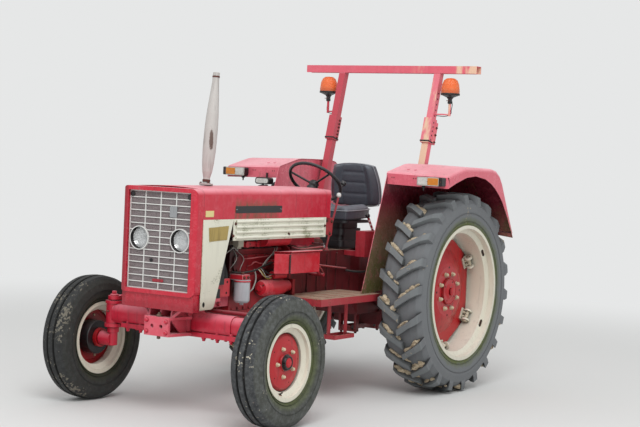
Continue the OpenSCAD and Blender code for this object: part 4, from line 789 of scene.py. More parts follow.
for y, z in [(-1.010 + 0.110 * i, z) for i in range(5) for z in (0.938, 1.032)] + [
    (-1.037, 0.985), (-0.543, 0.985),
]:
    engine_bolts += bolt((0.148, y, z), (1, 0, 0), 0.013)
for i in range(4):
    engine_bolts += bolt((0, ENGINE_FRONT + 0.12 + i * 0.130, 1.224), (0, 0, 1), 0.022)
for k in range(10):
    a = 2 * pi * (k + 0.5) / 10
    if sin(a) < 0.5:
        engine_bolts += bolt((0.100 * cos(a), -1.124, 0.760 + 0.100 * sin(a)), (0, -1, 0), 0.012)
piece("engine_bolts", engine_bolts, engine_enamel)

# Engine fittings
# Starter, fuel pump, generator and manifold are bolted on from outside. Hands
# and oil have kept them a brighter red than the block.
STARTER_X, STARTER_Z = 0.208, 0.812
fittings_enamel = enamel(
    "hand_worn_crimson_fittings", "#cc2735", "#d66f77", grime_and_shade=0.4, rust=0.2, gloss=0.33, chips=0.3,
    dust=0.4,
)
dress(fittings_enamel, "engine_fittings")
rusty_bolt = enamel("rusty_bolt_steel", "#5a2a22", "#7b4a3a", grime_and_shade=0.6, rust=0.6, gloss=0.6, edge=1)
fitting_bolts = []
for a in (40, 220):
    x, z = 0.034 * cos(radians(a)), 0.034 * sin(radians(a))
    fitting_bolts += bolt((STARTER_X + x, -0.806, STARTER_Z + z), (0, -1, 0), 0.012)
for dx, dz in ((0.012, 0.008), (-0.012, 0.008), (0.0, -0.014)):
    fitting_bolts += bolt((STARTER_X + 0.006 + dx, -0.685, 0.894 + dz), (0, -1, 0), 0.009, shank=0.008)
for i in range(4):
    fitting_bolts += bolt((0.170, ENGINE_FRONT + 0.180 + i * 0.130, 1.113), (1, 0, 0), 0.014)
piece("fitting_bolts", fitting_bolts, rusty_bolt)

# Pipes and wires on the engine's left
# Steel pipes and a wiring harness run from behind the lamp to the cowl. They
# are clipped to the block, and only the relay's two wires hang free.
rubber_black = enamel(
    "weathered_black_rubber", "#1a1a1b", "#3d3c3a", grime_and_shade=0.2, rust=0, gloss=0.55, chips=0, dust=0.3,
    edge=1,
)
wire_grey, wire_white, wire_yellow = [
    enamel(
        f"dirty_{tone}_wire_sleeve", sleeve, faded, grime_and_shade=0.4, rust=0, gloss=0.5, chips=0, dust=0.2, edge=1,
    )
    for tone, sleeve, faded in (
        ("grey", "#8f8d88", "#b0aea8"), ("white", "#c9c5b4", "#d8d5c8"), ("yellow", "#b99a3c", "#cdb466"),
    )
]
pipe_red = enamel(
    "crimson_steel_pipe", "#a93a40", "#cf8a8c", grime_and_shade=0.5, rust=0.3, gloss=0.3, chips=0.4, edge=1,
)


def run(name, routes, thick, material):
    """Pipes or wires of one thickness as smooth lines through the points of their routes."""
    line = bpy.data.curves.new(name, "CURVE")
    line.dimensions = "3D"
    line.bevel_depth = thick / 2
    line.bevel_resolution = 2
    line.resolution_u = 6
    line.use_fill_caps = True
    for route in routes:
        spline = line.splines.new("BEZIER")
        spline.bezier_points.add(len(route) - 1)
        for point, place in zip(spline.bezier_points, route):
            point.co = place
            point.handle_left_type = point.handle_right_type = "AUTO"
    line.materials.append(material)
    return mount(name, line, "chassis")


run("fuel_pipes", [
    [
        (0.149, -0.955, 1.010), (0.185, -0.937, 1.017), (0.195, -0.772, 1.026), (0.195, -0.560, 1.038),
        (0.165, -0.500, 1.045),
    ],
    [
        (0.149, -0.895, 0.960), (0.180, -0.888, 0.972), (0.190, -0.871, 0.990), (0.190, -0.800, 0.980),
        (0.190, -0.703, 0.982), (0.190, -0.594, 1.016), (0.165, -0.500, 1.030),
    ],
], 0.008, pipe_red)
run("wiring_harness", [
    [
        (0.150, -1.070, 0.930), (0.195, -1.032, 0.925), (0.205, -0.958, 0.930), (0.205, -0.870, 0.938),
        (0.205, -0.801, 0.957), (0.200, -0.679, 0.979), (0.195, -0.562, 1.004), (0.160, -0.480, 1.020),
    ],
], 0.013, rubber_black)
run("filter_pipe", [
    [
        (0.200, -0.880, 0.944), (0.215, -0.877, 0.891), (0.222, -0.902, 0.840), (0.224, -0.937, 0.805),
        (0.205, -0.985, 0.785), (0.150, -0.985, 0.780),
    ],
], 0.010, wire_grey)
run("throttle_cables", [
    [
        (0.205, -0.790, 0.965), (0.215, -0.765, 1.000), (0.220, -0.700, 1.045), (0.200, -0.646, 1.078),
        (0.150, -0.600, 1.090),
    ],
    [
        (0.195, -0.750, 0.970), (0.210, -0.730, 1.010), (0.215, -0.660, 1.055), (0.195, -0.610, 1.085),
        (0.150, -0.570, 1.092),
    ],
], 0.007, wire_grey)
run("starter_wires_pale", [
    [
        (0.205, -0.845, 0.945), (0.226, -0.838, 0.925), (0.230, -0.815, 0.900), (0.226, -0.760, 0.890),
        (0.222, -0.697, 0.902),
    ],
    [(0.205, -0.812, 0.950), (0.222, -0.800, 0.925), (0.224, -0.770, 0.892), (0.220, -0.700, 0.878)],
], 0.0045, wire_white)
run("starter_wires_yellow", [
    [
        (0.205, -0.835, 0.948), (0.232, -0.824, 0.915), (0.236, -0.790, 0.884), (0.226, -0.730, 0.876),
        (0.221, -0.700, 0.884),
    ],
], 0.0045, wire_yellow)
run("starter_cable", [
    [(0.200, -0.800, 0.950), (0.218, -0.780, 0.930), (0.224, -0.740, 0.912), (0.226, -0.700, 0.904)],
], 0.009, rubber_black)

# Relay box
# A pale moulded box screwed to the engine's front corner, with its own lead
# and two loose wires that loop down before they join the harness.
relay_plastic = enamel(
    "aged_cream_plastic", "#bdb9a6", "#cfccbf", grime_and_shade=0.35, rust=0, gloss=0.45, chips=0, dust=0.3, edge=2,
)
relay = [
    block((0.160, -1.081, 1.100), (0.206, -1.020, 1.148)),
    block((0.140, -1.074, 1.088), (0.192, -1.027, 1.100)),
]
relay.append(block((0.126, -1.075, 1.110), (0.160, -1.030, 1.140)))
piece("relay_box", relay, relay_plastic, edge=0.003)
LOOSE_WIRES = (
    # name, then the points from the relay down to the harness
    (
        "relay_wire_front",
        [
            (0.151, -1.066, 1.088), (0.166, -1.070, 1.066), (0.194, -1.084, 1.042), (0.208, -1.100, 1.020),
            (0.206, -1.118, 0.996), (0.196, -1.130, 0.974), (0.180, -1.128, 0.958), (0.163, -1.112, 0.946),
            (0.152, -1.090, 0.938),
        ],
    ),
    (
        "relay_wire_rear",
        [
            (0.151, -1.036, 1.088), (0.166, -1.031, 1.066), (0.196, -1.022, 1.042), (0.209, -1.018, 1.018),
            (0.208, -1.026, 0.994), (0.206, -1.040, 0.972), (0.203, -1.046, 0.952), (0.198, -1.040, 0.934),
        ],
    ),
)
for name, route in LOOSE_WIRES:
    wire = run(name, [route], 0.005, wire_grey)
    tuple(route[0])
run(
    "lamp_lead",
    [[
        (0.183, -1.050, 1.090), (0.190, -1.070, 1.078), (0.197, -1.121, 1.096), (0.195, -1.170, 1.076),
        (0.180, -1.240, 1.040), (0.150, -1.330, 1.020),
    ]],
    0.007, wire_grey,
)

# Foot plate and hoses at the engine's front
# A plate with two holes that closes the frame beside the pulley, and the
# moulded rubber hoses that join radiator and engine.
def outline_plate(outline, at, across, up, thick):
    """A flat plate from an outline in its own plane; it grows by its thickness towards across x up."""
    u, v = Vector(across).normalized(), Vector(up).normalized()
    n = u.cross(v)
    points = [Vector(at) + u * x + v * y + n * t for t in (0, thick) for x, y in outline]
    k = len(outline)
    sides = [(i, (i + 1) % k, k + (i + 1) % k, k + i) for i in range(k)]
    return points, [tuple(range(k - 1, -1, -1)), tuple(range(k, 2 * k))] + sides


def rounded(wide, high, r, steps=5):
    corners = [(1, 1), (-1, 1), (-1, -1), (1, -1)]
    return [
        (sx * (wide / 2 - r) + r * cos(a), sy * (high / 2 - r) + r * sin(a))
        for q, (sx, sy) in enumerate(corners)
        for a in (pi / 2 * (q + i / steps) for i in range(steps + 1))
    ]


foot_plate = [
    outline_plate(rounded(0.130, 0.120, 0.008), (0.196, -1.219, 0.835), (0, 1, 0), (0, 0, 1), 0.006),
]
foot_plate.append(block((0.150, -1.270, 0.776), (0.198, -1.168, 0.784)))
piece("foot_plate", foot_plate, fittings_enamel, edge=0.0015)
plate_holes = [
    turned(tube(0, 0.008, 0, 0.0008), (0.202, y, z), (1, 0, 0), 18)
    for y, z in ((-1.184, 0.872), (-1.190, 0.800))
]
# The holes here, on the side panels and on the posts are drawn as dark plates, painted shade where one looks
# into them
hole_shade_dark = enamel("painted_dark_shade_in_holes", "#0d0b0a", "#191613", grime_and_shade=0.2, rust=0, gloss=0.8, chips=0, dust=0)
piece("foot_plate_holes", plate_holes, hole_shade_dark)
TOP_HOSE = [
    (0, -1.304, 1.425), (0, -1.262, 1.424), (0, -1.190, 1.400), (0, -1.125, 1.330), (0, -1.080, 1.250),
    (0, -1.072, 1.185),
]
LOW_HOSE = [
    (0.160, -1.304, 0.800), (0.160, -1.250, 0.800), (0.158, -1.180, 0.815), (0.145, -1.128, 0.880),
    (0.110, -1.114, 0.970), (0.060, -1.112, 1.060), (0.040, -1.108, 1.085),
]
run("radiator_hoses", [TOP_HOSE, LOW_HOSE], 0.038, rubber_black)
thermostat = [
    block((-0.035, -1.100, 1.150), (0.035, -1.045, 1.164)),
    turned([(0, 0), (0.026, 0), (0.022, 0.030), (0, 0.030)], (0, -1.072, 1.163), (0, 0, 1)),
]
piece("thermostat_housing", thermostat, engine_enamel, edge=0.002)

# Fan belt
# A rubber belt of wedge section round the crankshaft, fan and generator
# pulleys, polished on its flanks and cracked across its back.
BELT_Y = -1.158
PULLEYS = ((0.0, 0.760, 0.075), (0.0, 1.090, 0.055), (-0.210, 0.760, 0.040))
belt_hull = [
    (x + (r + 0.002) * cos(a), z + (r + 0.002) * sin(a))
    for x, z, r in PULLEYS
    for a in (2 * pi * i / 40 for i in range(40))
]
belt_hull.sort()


def half_hull(points):
    line = []
    for p in points:
        while len(line) > 1:
            (x0, z0), (x1, z1) = line[-2:]
            if (x1 - x0) * (p[1] - z0) > (z1 - z0) * (p[0] - x0):
                break
            line.pop()
        line.append(p)
    return line[:-1]


belt_line = half_hull(belt_hull) + half_hull(belt_hull[::-1])
belt_points = []
for k, (x, z) in enumerate(belt_line):
    before, after = Vector(belt_line[k - 1]), Vector(belt_line[(k + 1) % len(belt_line)])
    along = (after - before).normalized()
    out = Vector((along.y, -along.x))
    belt_points += [
        (x, BELT_Y - 0.005, z), (x + out.x * 0.008, BELT_Y - 0.006, z + out.y * 0.008),
        (x + out.x * 0.008, BELT_Y + 0.006, z + out.y * 0.008), (x, BELT_Y + 0.005, z),
    ]
count = len(belt_line)
belt_faces = [
    (4 * k + j, 4 * ((k + 1) % count) + j, 4 * ((k + 1) % count) + (j + 1) % 4, 4 * k + (j + 1) % 4)
    for k in range(count)
    for j in range(4)
]
piece("fan_belt", [(belt_points, belt_faces)], rubber_black, smooth=30)

# Radiator and fan
# A brass core with soldered tanks stands behind the grille, painted black. A
# pressed steel fan, driven by the belt, draws air through it.
black_enamel = enamel("black_enamel", "#1d1e20", "#3a3c3e", grime_and_shade=0.35, rust=0.3, gloss=0.45)
dress(black_enamel, "radiator")
fan_enamel = enamel("worn_black_fan_paint", "#26262a", "#4a4a4c", grime_and_shade=0.3, rust=0.6, gloss=0.45, edge=1)
dress(fan_enamel, "fan")
filler = [turned(
    [(0, 0), (0.034, 0), (0.034, 0.010), (0.026, 0.014), (0, 0.015)], (0, -1.365, 1.472), (0, 0, 1), 32,
)]
piece("radiator_cap", filler, rusty_bolt)

# Oil filter
# A spun steel can screwed up under its cast head, blue-grey paint with a red
# sealing ring, oily where it meets the head.
FILTER = Vector((0.226, -1.048, 0.730))
filter_grey = enamel(
    "blue_grey_filter_enamel", "#b7babf", "#cdd0d4", grime_and_shade=0.25, rust=0.1, gloss=0.22, chips=0.3, edge=1,
)
dress(filter_grey, "oil_filter")
head = [block((0.150, FILTER.y - 0.0405, 0.8825), (0.2565, FILTER.y + 0.0405, 0.9185))]
head.append(turned(
    [(0.0572, 0.1400), (0.0580, 0.1415), (0.0580, 0.1475), (0.0572, 0.1490)], FILTER, (0, 0, 1), 40,
))
piece("filter_head", head, fittings_enamel, edge=0.003)
head_bolts = []
for y in (FILTER.y - 0.022, FILTER.y + 0.022):
    head_bolts += bolt((0.256, y, 0.900), (1, 0, 0), 0.014)
head_bolts += bolt((FILTER.x, FILTER.y, 0.918), (0, 0, 1), 0.020)
piece("filter_bolts", head_bolts, rusty_bolt)

# Nose
# A pressed sheet frame round the grille, in the bonnet's crimson. Gravel from
# the road has chipped it down to the grey primer.
BONNET_RED = "#c52137"
BONNET_CHALK = "#f09ca8"
nose_enamel = enamel(
    "chipped_crimson_sheet_enamel", BONNET_RED, BONNET_CHALK, grime_and_shade=0.3, rust=0.15, gloss=0.26, chips=0.75,
    edge=2,
)
nose_enamel, tree, shader, painted = repaint(nose_enamel)
where = add(tree, "SeparateXYZ", [add(tree, "TexCoord").outputs["Object"]]).outputs
# Road dirt darkens the apron, and painted shade darkens the frame's right edge
foot = add(tree, "MapRange", [where["Z"], 0.80, 0.73, 0, 0.5])
right_edge_shade = add(tree, "MapRange", [where["X"], -0.25, -0.27, 0, 0.6])
dirt_and_edge_shade = add(tree, "Math", [foot, right_edge_shade], operation="MAXIMUM")
soiled_and_shaded = add(tree, "Mix", {0: dirt_and_edge_shade, 6: painted, 7: "#6f1720"}, data_type="RGBA")
feed(shader, {"Base Color": soiled_and_shaded})
dress(nose_enamel, "nose")

# Grille
# Level and upright wires welded to a flat wire screen, painted white and gone
# grey. Two sheet rings hold the lamps.
GRILLE_WHITE = "#dededb"
SCREEN_SHADE = "#3d3033"
GRILLE_FRONT = -1.662
SCREEN_FRONT = -1.654
GRILLE_HALF = 0.255
GRILLE_LOW, GRILLE_TOP = 0.827, 1.463
SCREEN_PITCH = 0.008
LAMP_X, LAMP_Z = 0.167, 1.154
RING_R = 0.078
# White oil paint with rusty crossings: the wires shine before the screen behind, which is painted dark as the
# shade seen through the mesh
grille_paint = enamel(
    "white_painted_wire", GRILLE_WHITE, "#e9e9e7", grime_and_shade=0.12, rust=0.12, gloss=0.3, chips=0.3, edge=1,
)
wire_paint, tree, shader, painted = repaint(grille_paint, "white_wire_before_painted_screen_shade")
coords = add(tree, "TexCoord").outputs["Object"]
where = add(tree, "SeparateXYZ", [coords]).outputs
sideways = add(tree, "Math", [where["X"]], operation="ABSOLUTE")
from_lamp_x = add(tree, "Math", [sideways, LAMP_X], operation="SUBTRACT")
from_lamp_z = add(tree, "Math", [where["Z"], LAMP_Z], operation="SUBTRACT")
to_lamp = add(tree, "CombineXYZ", {"X": from_lamp_x, "Z": from_lamp_z})
radius = add(tree, "VectorMath", [to_lamp], operation="LENGTH")
off_ring = add(tree, "Math", [radius, RING_R + 0.0005], operation="GREATER_THAN")
behind = add(tree, "Math", [where["Y"], SCREEN_FRONT - 0.0005], operation="GREATER_THAN")
screen = add(tree, "Math", [off_ring, behind], operation="MULTIPLY")
dust_spots = add(tree, "TexNoise", {"Vector": coords, "Scale": 1 / 0.03, "Detail": 4})
screen_shade = add(tree, "Mix", {0: dust_spots, 6: SCREEN_SHADE, 7: "#7d6b6e"}, data_type="RGBA")
wires_and_screen_shade = add(tree, "Mix", {0: screen, 6: painted, 7: screen_shade}, data_type="RGBA")
feed(shader, {"Base Color": wires_and_screen_shade})
dress(wire_paint, "grille")


def screen_runs(place, low, high, level):
    """The stretches of one wire of the screen between its ends, left out where a lamp's ring is."""
    cuts = []
    for side in (-1, 1):
        off = place - (LAMP_Z if level else side * LAMP_X)
        if abs(off) < RING_R:
            reach = sqrt(RING_R**2 - off**2)
            middle = side * LAMP_X if level else LAMP_Z
            cuts.append((middle - reach, middle + reach))
    start = low
    for cut_low, cut_high in cuts:
        yield start, cut_low
        start = cut_high
    yield start, high


screen_wires = []
for i in range(1, int((GRILLE_TOP - GRILLE_LOW) / SCREEN_PITCH)):
    z = GRILLE_LOW + i * SCREEN_PITCH
    for a, b in screen_runs(z, -GRILLE_HALF + 0.004, GRILLE_HALF - 0.004, True):
        screen_wires.append(block(
            (a, SCREEN_FRONT - 0.0018, z - 0.0008), (b, SCREEN_FRONT + 0.0001, z + 0.0008),
        ))
for i in range(1, int(2 * GRILLE_HALF / SCREEN_PITCH)):
    x = -GRILLE_HALF + i * SCREEN_PITCH
    for a, b in screen_runs(x, GRILLE_LOW + 0.004, GRILLE_TOP - 0.004, False):
        screen_wires.append(block(
            (x - 0.0008, SCREEN_FRONT - 0.0030, a), (x + 0.0008, SCREEN_FRONT - 0.0012, b),
        ))
screen_paint = enamel(
    "greyed_screen_wire", "#b3a8a9", "#c2b8b8", grime_and_shade=0.2, rust=0.3, gloss=0.4, chips=0.2, edge=1,
)
piece("grille_screen", screen_wires, screen_paint)

# Clips in the top corners, a bare badge plate, the drain hole drawn as a black disc of painted shade, and the
# starting handle's slot
dull_black = enamel("dull_black_paint", "#17171a", "#3b3b3d", grime_and_shade=0.3, rust=0.1, gloss=0.5)
clip = [(0, 0), (0.017, 0), (0.017, 0.004), (0.009, 0.006), (0, 0.006)]
clips = [turned(clip, (side * 0.235, GRILLE_FRONT, 1.436), (0, -1, 0)) for side in (-1, 1)]
clips.append(turned(tube(0, 0.012, 0, 0.003), (-0.062, GRILLE_FRONT, 1.016), (0, -1, 0)))
piece("grille_clips", clips, dull_black)
badge_metal = enamel(
    "dull_silver_badge_plate", "#a6a8aa", "#c3c5c6", grime_and_shade=0.25, rust=0, gloss=0.25, chips=0.1, edge=1,
    metal=0.8,
)
badge = [outline_plate(
    rounded(0.060, 0.074, 0.010), (0.106, GRILLE_FRONT, 1.336), (1, 0, 0), (0, 0, 1), 0.003,
)]
piece("grille_badge_blank", badge, badge_metal, edge=0.0012)
slot_red = enamel("handle_slot_enamel", "#9c2331", "#b4525a", grime_and_shade=0.5, rust=0.3, chips=0.5, edge=1)
slot_plate_shape = [outline_plate(
    rounded(0.092, 0.020, 0.009), (0, GRILLE_FRONT, 0.888), (1, 0, 0), (0, 0, 1), 0.003,
)]
piece("handle_slot", slot_plate_shape, slot_red, edge=0.001)

# Headlamps
# Pressed bowls with a silvered reflector, a bulb, and a fluted lens of pressed
# glass held by a rim. The silver has gone dull and the glass is dusty.
LENS_R = 0.0705
reflector, tree, shader = new_material("tarnished_silvered_reflector")
# Tarnish in spots of 12 mm dulls the mirror, so that it reads as old silvering
tarnish = add(
    tree, "TexNoise", {"Vector": add(tree, "TexCoord").outputs["Object"], "Scale": 1 / 0.012, "Detail": 5},
)
silver = add(tree, "Mix", {0: tarnish, 6: "#f0f1f2", 7: "#c2c2be"}, data_type="RGBA")
haze = add(tree, "MapRange", [tarnish, 0.3, 0.7, 0.08, 0.25])
feed(shader, {"Base Color": silver, "Roughness": haze, "Metallic": 1})
dress(reflector, "headlamps")


def lamp_glass(name, colour, flute=0.0, clear=0.8):
    """Thin pressed glass or plastic. Light passes where it is clear.
    Dust in spots of 20 mm and the flutes catch it."""
    material, tree, shader = new_material(name)
    coords = add(tree, "TexCoord").outputs["Object"]
    specks = add(tree, "TexNoise", {"Vector": coords, "Scale": 1 / 0.02, "Detail": 6, "Roughness": 0.7})
    solid = add(tree, "MapRange", [specks, 0.35, 0.7, 1 - clear, min(1, 1.35 - clear)])
    shade = [c * 0.82 for c in linear(colour)[:3]] + [1]
    tint = add(tree, "Mix", {0: specks, 6: colour, 7: shade}, data_type="RGBA")
    rough = add(tree, "MapRange", [specks, 0, 1, 0.04, 0.3])
    feed(shader, {"Base Color": tint, "Alpha": solid, "Roughness": rough})
    if flute:
        stripes = add(tree, "TexWave", {"Vector": coords, "Scale": 0.16 / flute}, bands_direction="X")
        bump = add(tree, "Bump", {"Height": stripes.outputs["Fac"], "Strength": 0.35, "Distance": 0.0008})
        feed(shader, {"Normal": bump})
    return material


lens_glass = lamp_glass("fluted_lens_glass", "#eef1f2", flute=0.006, clear=0.75)
rim_metal = enamel("white_lamp_ring_paint", "#d0d1cf", "#e2e2e0", grime_and_shade=0.2, rust=0.15, gloss=0.3, edge=1)
lenses, rims, bulbs = [], [], []
for side in (-1, 1):
    at = (side * LAMP_X, -1.638, LAMP_Z)
    dome = [(LENS_R * sin(a), 0.0045 * cos(a)) for a in (pi / 2 * i / 7 for i in range(7, -1, -1))]
    lenses.append(turned(
        [(0, -0.002), (LENS_R, -0.002)] + dome[0:-1] + [(0, dome[-1][1])], at, (0, -1, 0), 48,
    ))
    rims.append(turned(
        [
            (LENS_R - 0.002, 0.002), (LENS_R - 0.002, 0.005), (0.0712, 0.005), (0.0712, 0.0285),
            (0.0718, 0.0285), (0.0718, 0.002),
        ],
        at, (0, -1, 0), 48,
    ))
    bulbs.append(turned(
        [(0, -0.026), (0.010, -0.026), (0.010, -0.014), (0.014, -0.010), (0.012, -0.004), (0, -0.002)], at,
        (0, -1, 0), 20,
    ))
piece("headlamp_lenses", lenses, lens_glass)
piece("headlamp_seals", rims, dull_black)
piece("headlamp_bulbs", bulbs, rim_metal)

# Bonnet
# One pressed sheet over engine and radiator, in crimson that the sun has
# bleached pink on top. Bare plates are screwed to its sides, and rain has
# washed a brown stain down from the upper one.
BONNET_SIDE_X = 0.300
NAME_PLATE_Y = (-1.258, -0.724)
NAME_PLATE_Z = (1.335, 1.381)
MOULD = "#4e4a26"
bonnet_enamel = enamel(
    "bleached_crimson_bonnet_enamel", BONNET_RED, BONNET_CHALK, grime_and_shade=0.22, rust=0.02, gloss=0.24,
    chips=0.1, dust=0.08, edge=3,
)
stained, tree, shader, painted = repaint(bonnet_enamel, "bonnet_enamel_with_rain_stain")
coords = add(tree, "TexCoord").outputs["Object"]
where = add(tree, "SeparateXYZ", [coords]).outputs
# The stain lies round the name plate: it is cut off at the plate's two ends and fades 90 mm above it
after_start = add(tree, "MapRange", [where["Y"], -1.285, -1.255])
before_end = add(tree, "MapRange", [where["Y"], -0.72, -0.80])
below_top = add(tree, "MapRange", [where["Z"], 1.475, 1.385])
above_foot = add(tree, "MapRange", [where["Z"], 1.293, 1.30])
# Runs 12 mm wide and fifteen times as long, broken up in patches of 50 mm
drawn_out = add(tree, "Mapping", {"Vector": coords, "Scale": (1 / 0.012, 1 / 0.012, 1 / 0.18)})
runs = add(tree, "TexNoise", {"Vector": drawn_out, "Scale": 1, "Detail": 4, "Roughness": 0.6})
patches = add(tree, "TexNoise", {"Vector": coords, "Scale": 1 / 0.05, "Detail": 5, "Roughness": 0.65})
share = runs
for part in (patches, after_start, before_end, below_top, above_foot):
    share = add(tree, "Math", [share, part], operation="MULTIPLY")
stain = add(tree, "MapRange", [share, 0.10, 0.36, 0, 0.85])
with_stain = add(tree, "Mix", {0: stain, 6: painted, 7: MOULD}, data_type="RGBA")
# Dark joints, 2 mm wide: one in the sheet, one at each end of it
seams = None
for y in (-1.5985, -0.553, -0.1615):
    off = add(tree, "Math", [where["Y"], y], operation="SUBTRACT")
    near = add(tree, "Math", [off], operation="ABSOLUTE")
    line = add(tree, "Math", [near, 0.0009], operation="LESS_THAN")
    seams = add(tree, "Math", [seams, line], operation="MAXIMUM") if seams else line
seam_share = add(tree, "Math", [seams, 0.75], operation="MULTIPLY")
seamed = add(tree, "Mix", {0: seam_share, 6: with_stain, 7: "#3c1216"}, data_type="RGBA")
feed(shader, {"Base Color": seamed})
dress(stained, "bonnet")
dress(bonnet_enamel, "cowl")


def side_plate(outline, at, side, thick):
    """A flat plate on the left or right side of the tractor; its outline is in lengths backwards and up."""
    turned_round = outline if side > 0 else [(-y, z) for y, z in outline][::-1]
    return outline_plate(turned_round, at, (0, side, 0), (0, 0, 1), thick)


# Bare black name plate on each side, bare yellow plate ahead of it on the left
plate_black = enamel(
    "black_enamelled_plate", "#1b1b1d", "#2c2c2e", grime_and_shade=0.2, rust=0.05, gloss=0.3, chips=0.3, edge=1,
)
yellow_plate = enamel("faded_yellow_plate", "#e0cf8e", "#eadfae", grime_and_shade=0.3, rust=0.05, gloss=0.4, edge=1)
name_plates, name_rivets = [], []
name_long, name_high = NAME_PLATE_Y[1] - NAME_PLATE_Y[0], NAME_PLATE_Z[1] - NAME_PLATE_Z[0]
for side in (-1, 1):
    at = (side * BONNET_SIDE_X, sum(NAME_PLATE_Y) / 2, sum(NAME_PLATE_Z) / 2)
    name_plates.append(side_plate(rounded(name_long, name_high, 0.004), at, side, 0.002))
    for y in (NAME_PLATE_Y[0] + 0.012, NAME_PLATE_Y[1] - 0.012):
        name_rivets.append(turned(
            [(0, 0.002), (0.004, 0.002), (0.003, 0.0035), (0, 0.004)], (side * BONNET_SIDE_X, y, at[2]),
            (side, 0, 0), 12,
        ))
piece("name_plates_blank", name_plates, plate_black, edge=0.0006)
piece("name_plate_rivets", name_rivets, badge_metal)
piece(
    "yellow_plate_blank",
    [side_plate(rounded(0.087, 0.040, 0.003), (BONNET_SIDE_X, -1.537, 1.333), 1, 0.0015)], yellow_plate,
)

# Side panels
# Cream painted sheet: a tapered plate at the front and a ribbed strip under
# the bonnet. Bolts hold them, and green mould grows between the ribs.
CREAM = "#e3e2d0"
cream_enamel = enamel(
    "cream_enamel", CREAM, "#ecebe0", grime_and_shade=0.12, rust=0.1, gloss=0.36, chips=0.35, edge=1.5,
)
mouldy, tree, shader, painted = repaint(cream_enamel, "mouldy_cream_enamel")
coords = add(tree, "TexCoord").outputs["Object"]
where = add(tree, "SeparateXYZ", [coords]).outputs
# Mould in specks of 8 mm, thick in the hollows between the ribs and in patches of 120 mm
specks = add(tree, "TexNoise", {"Vector": coords, "Scale": 1 / 0.008, "Detail": 4, "Roughness": 0.7})
patches = add(tree, "TexNoise", {"Vector": coords, "Scale": 1 / 0.12, "Detail": 3})
hollow = add(tree, "AmbientOcclusion", {"Distance": 0.012}, samples=6)
depth = add(tree, "MapRange", [hollow.outputs["AO"], 1.0, 0.45, 0, 0.34])
field = add(tree, "Math", [specks, patches], operation="ADD")
field = add(tree, "Math", [field, depth], operation="ADD")
mould = add(tree, "MapRange", [field, 1.13, 1.30, 0, 0.9])
grown = add(tree, "Mix", {0: mould, 6: painted, 7: "#6f7446"}, data_type="RGBA")
# The panel's foot is stained brown where mud splashes up
low = add(tree, "MapRange", [where["Z"], 0.80, 0.715])
splash = add(tree, "Math", [low, patches], operation="MULTIPLY")
splashed = add(tree, "Mix", {0: splash, 6: grown, 7: "#6a5a35"}, data_type="RGBA")
feed(shader, {"Base Color": splashed})
dress(mouldy, "side_panels")
panel_bolts, panel_holes, model_plates = [], [], []
for side in (-1, 1):
    for y, z in ((-1.257, 1.265), (-1.284, 1.187), (-0.633, 1.186), (-0.180, 1.236)):
        panel_bolts += bolt(
            (side * (BONNET_SIDE_X + (0.005 if y < -1.27 else 0.003)), y, z), (side, 0, 0), 0.014,
        )
    oval = [(0.5 * 0.024 * cos(a), 0.5 * 0.034 * sin(a)) for a in (2 * pi * i / 20 for i in range(20))]
    panel_holes.append(side_plate(oval, (side * 0.3048, -1.571, 0.753), side, 0.0007))
    # Bare model plate, a trapezoid with a pressed rim
    outer = [(-0.107, 0.041), (-0.096, -0.048), (0.092, -0.040), (0.107, 0.050)][::-1]
    inner = [(0.86 * y, 0.80 * z) for y, z in outer]
    model_plates.append(side_plate(outer, (side * 0.305, -1.440, 1.203), side, 0.002))
    model_plates.append(side_plate(inner, (side * 0.3068, -1.440, 1.203), side, 0.0012))
piece("side_panel_bolts", panel_bolts, rusty_bolt)
piece("side_panel_holes", panel_holes, hole_shade_dark)
brass = enamel(
    "tarnished_brass_plate", "#b59d5c", "#cdbb85", grime_and_shade=0.45, rust=0.1, gloss=0.35, chips=0.1, edge=1,
    metal=0.5,
)
piece("model_plates_blank", model_plates, brass, edge=0.0008)

# Bracket behind the strip
# A bent steel plate under the cowl on each side, held by three bolts. Its red
# paint is rusting through.
bracket_rust = enamel(
    "rusting_crimson_bracket", "#a8323a", "#c9777a", grime_and_shade=0.4, rust=0.75, gloss=0.45, chips=0.7,
)
brackets = []
for side in (-1, 1):
    outline = [(-0.060, 0.070), (0.058, 0.070), (0.050, -0.055), (0.020, -0.070), (-0.050, -0.040)][::-1]
    brackets.append(side_plate(outline, (side * 0.280, -0.097, 1.220), side, 0.005))
piece("cowl_brackets", brackets, bracket_rust, edge=0.0012)
bracket_bolts = []
for side in (-1, 1):
    for y, z in ((-0.128, 1.268), (-0.062, 1.262), (-0.082, 1.176)):
        bracket_bolts += bolt((side * 0.286, y, z), (side, 0, 0), 0.016)
piece("cowl_bracket_bolts", bracket_bolts, rusty_bolt)

# Exhaust
# An upright silencer of aluminised sheet, clamped to a flange on the bonnet.
# Rain has streaked its old silver paint.
EXHAUST_FOOT = Vector((0, -1.195, 1.5042))
EXHAUST_TURN = Matrix.Rotation(radians(-5), 3, "X")
SCAR_FROM_FOOT = Vector((0.032, -0.030, 0.300))
exhaust_silver = enamel(
    "streaked_silver_paint", "#bcb8b4", "#d4d1cd", grime_and_shade=0.45, rust=0.35, gloss=0.5, chips=0.35, edge=1,
)
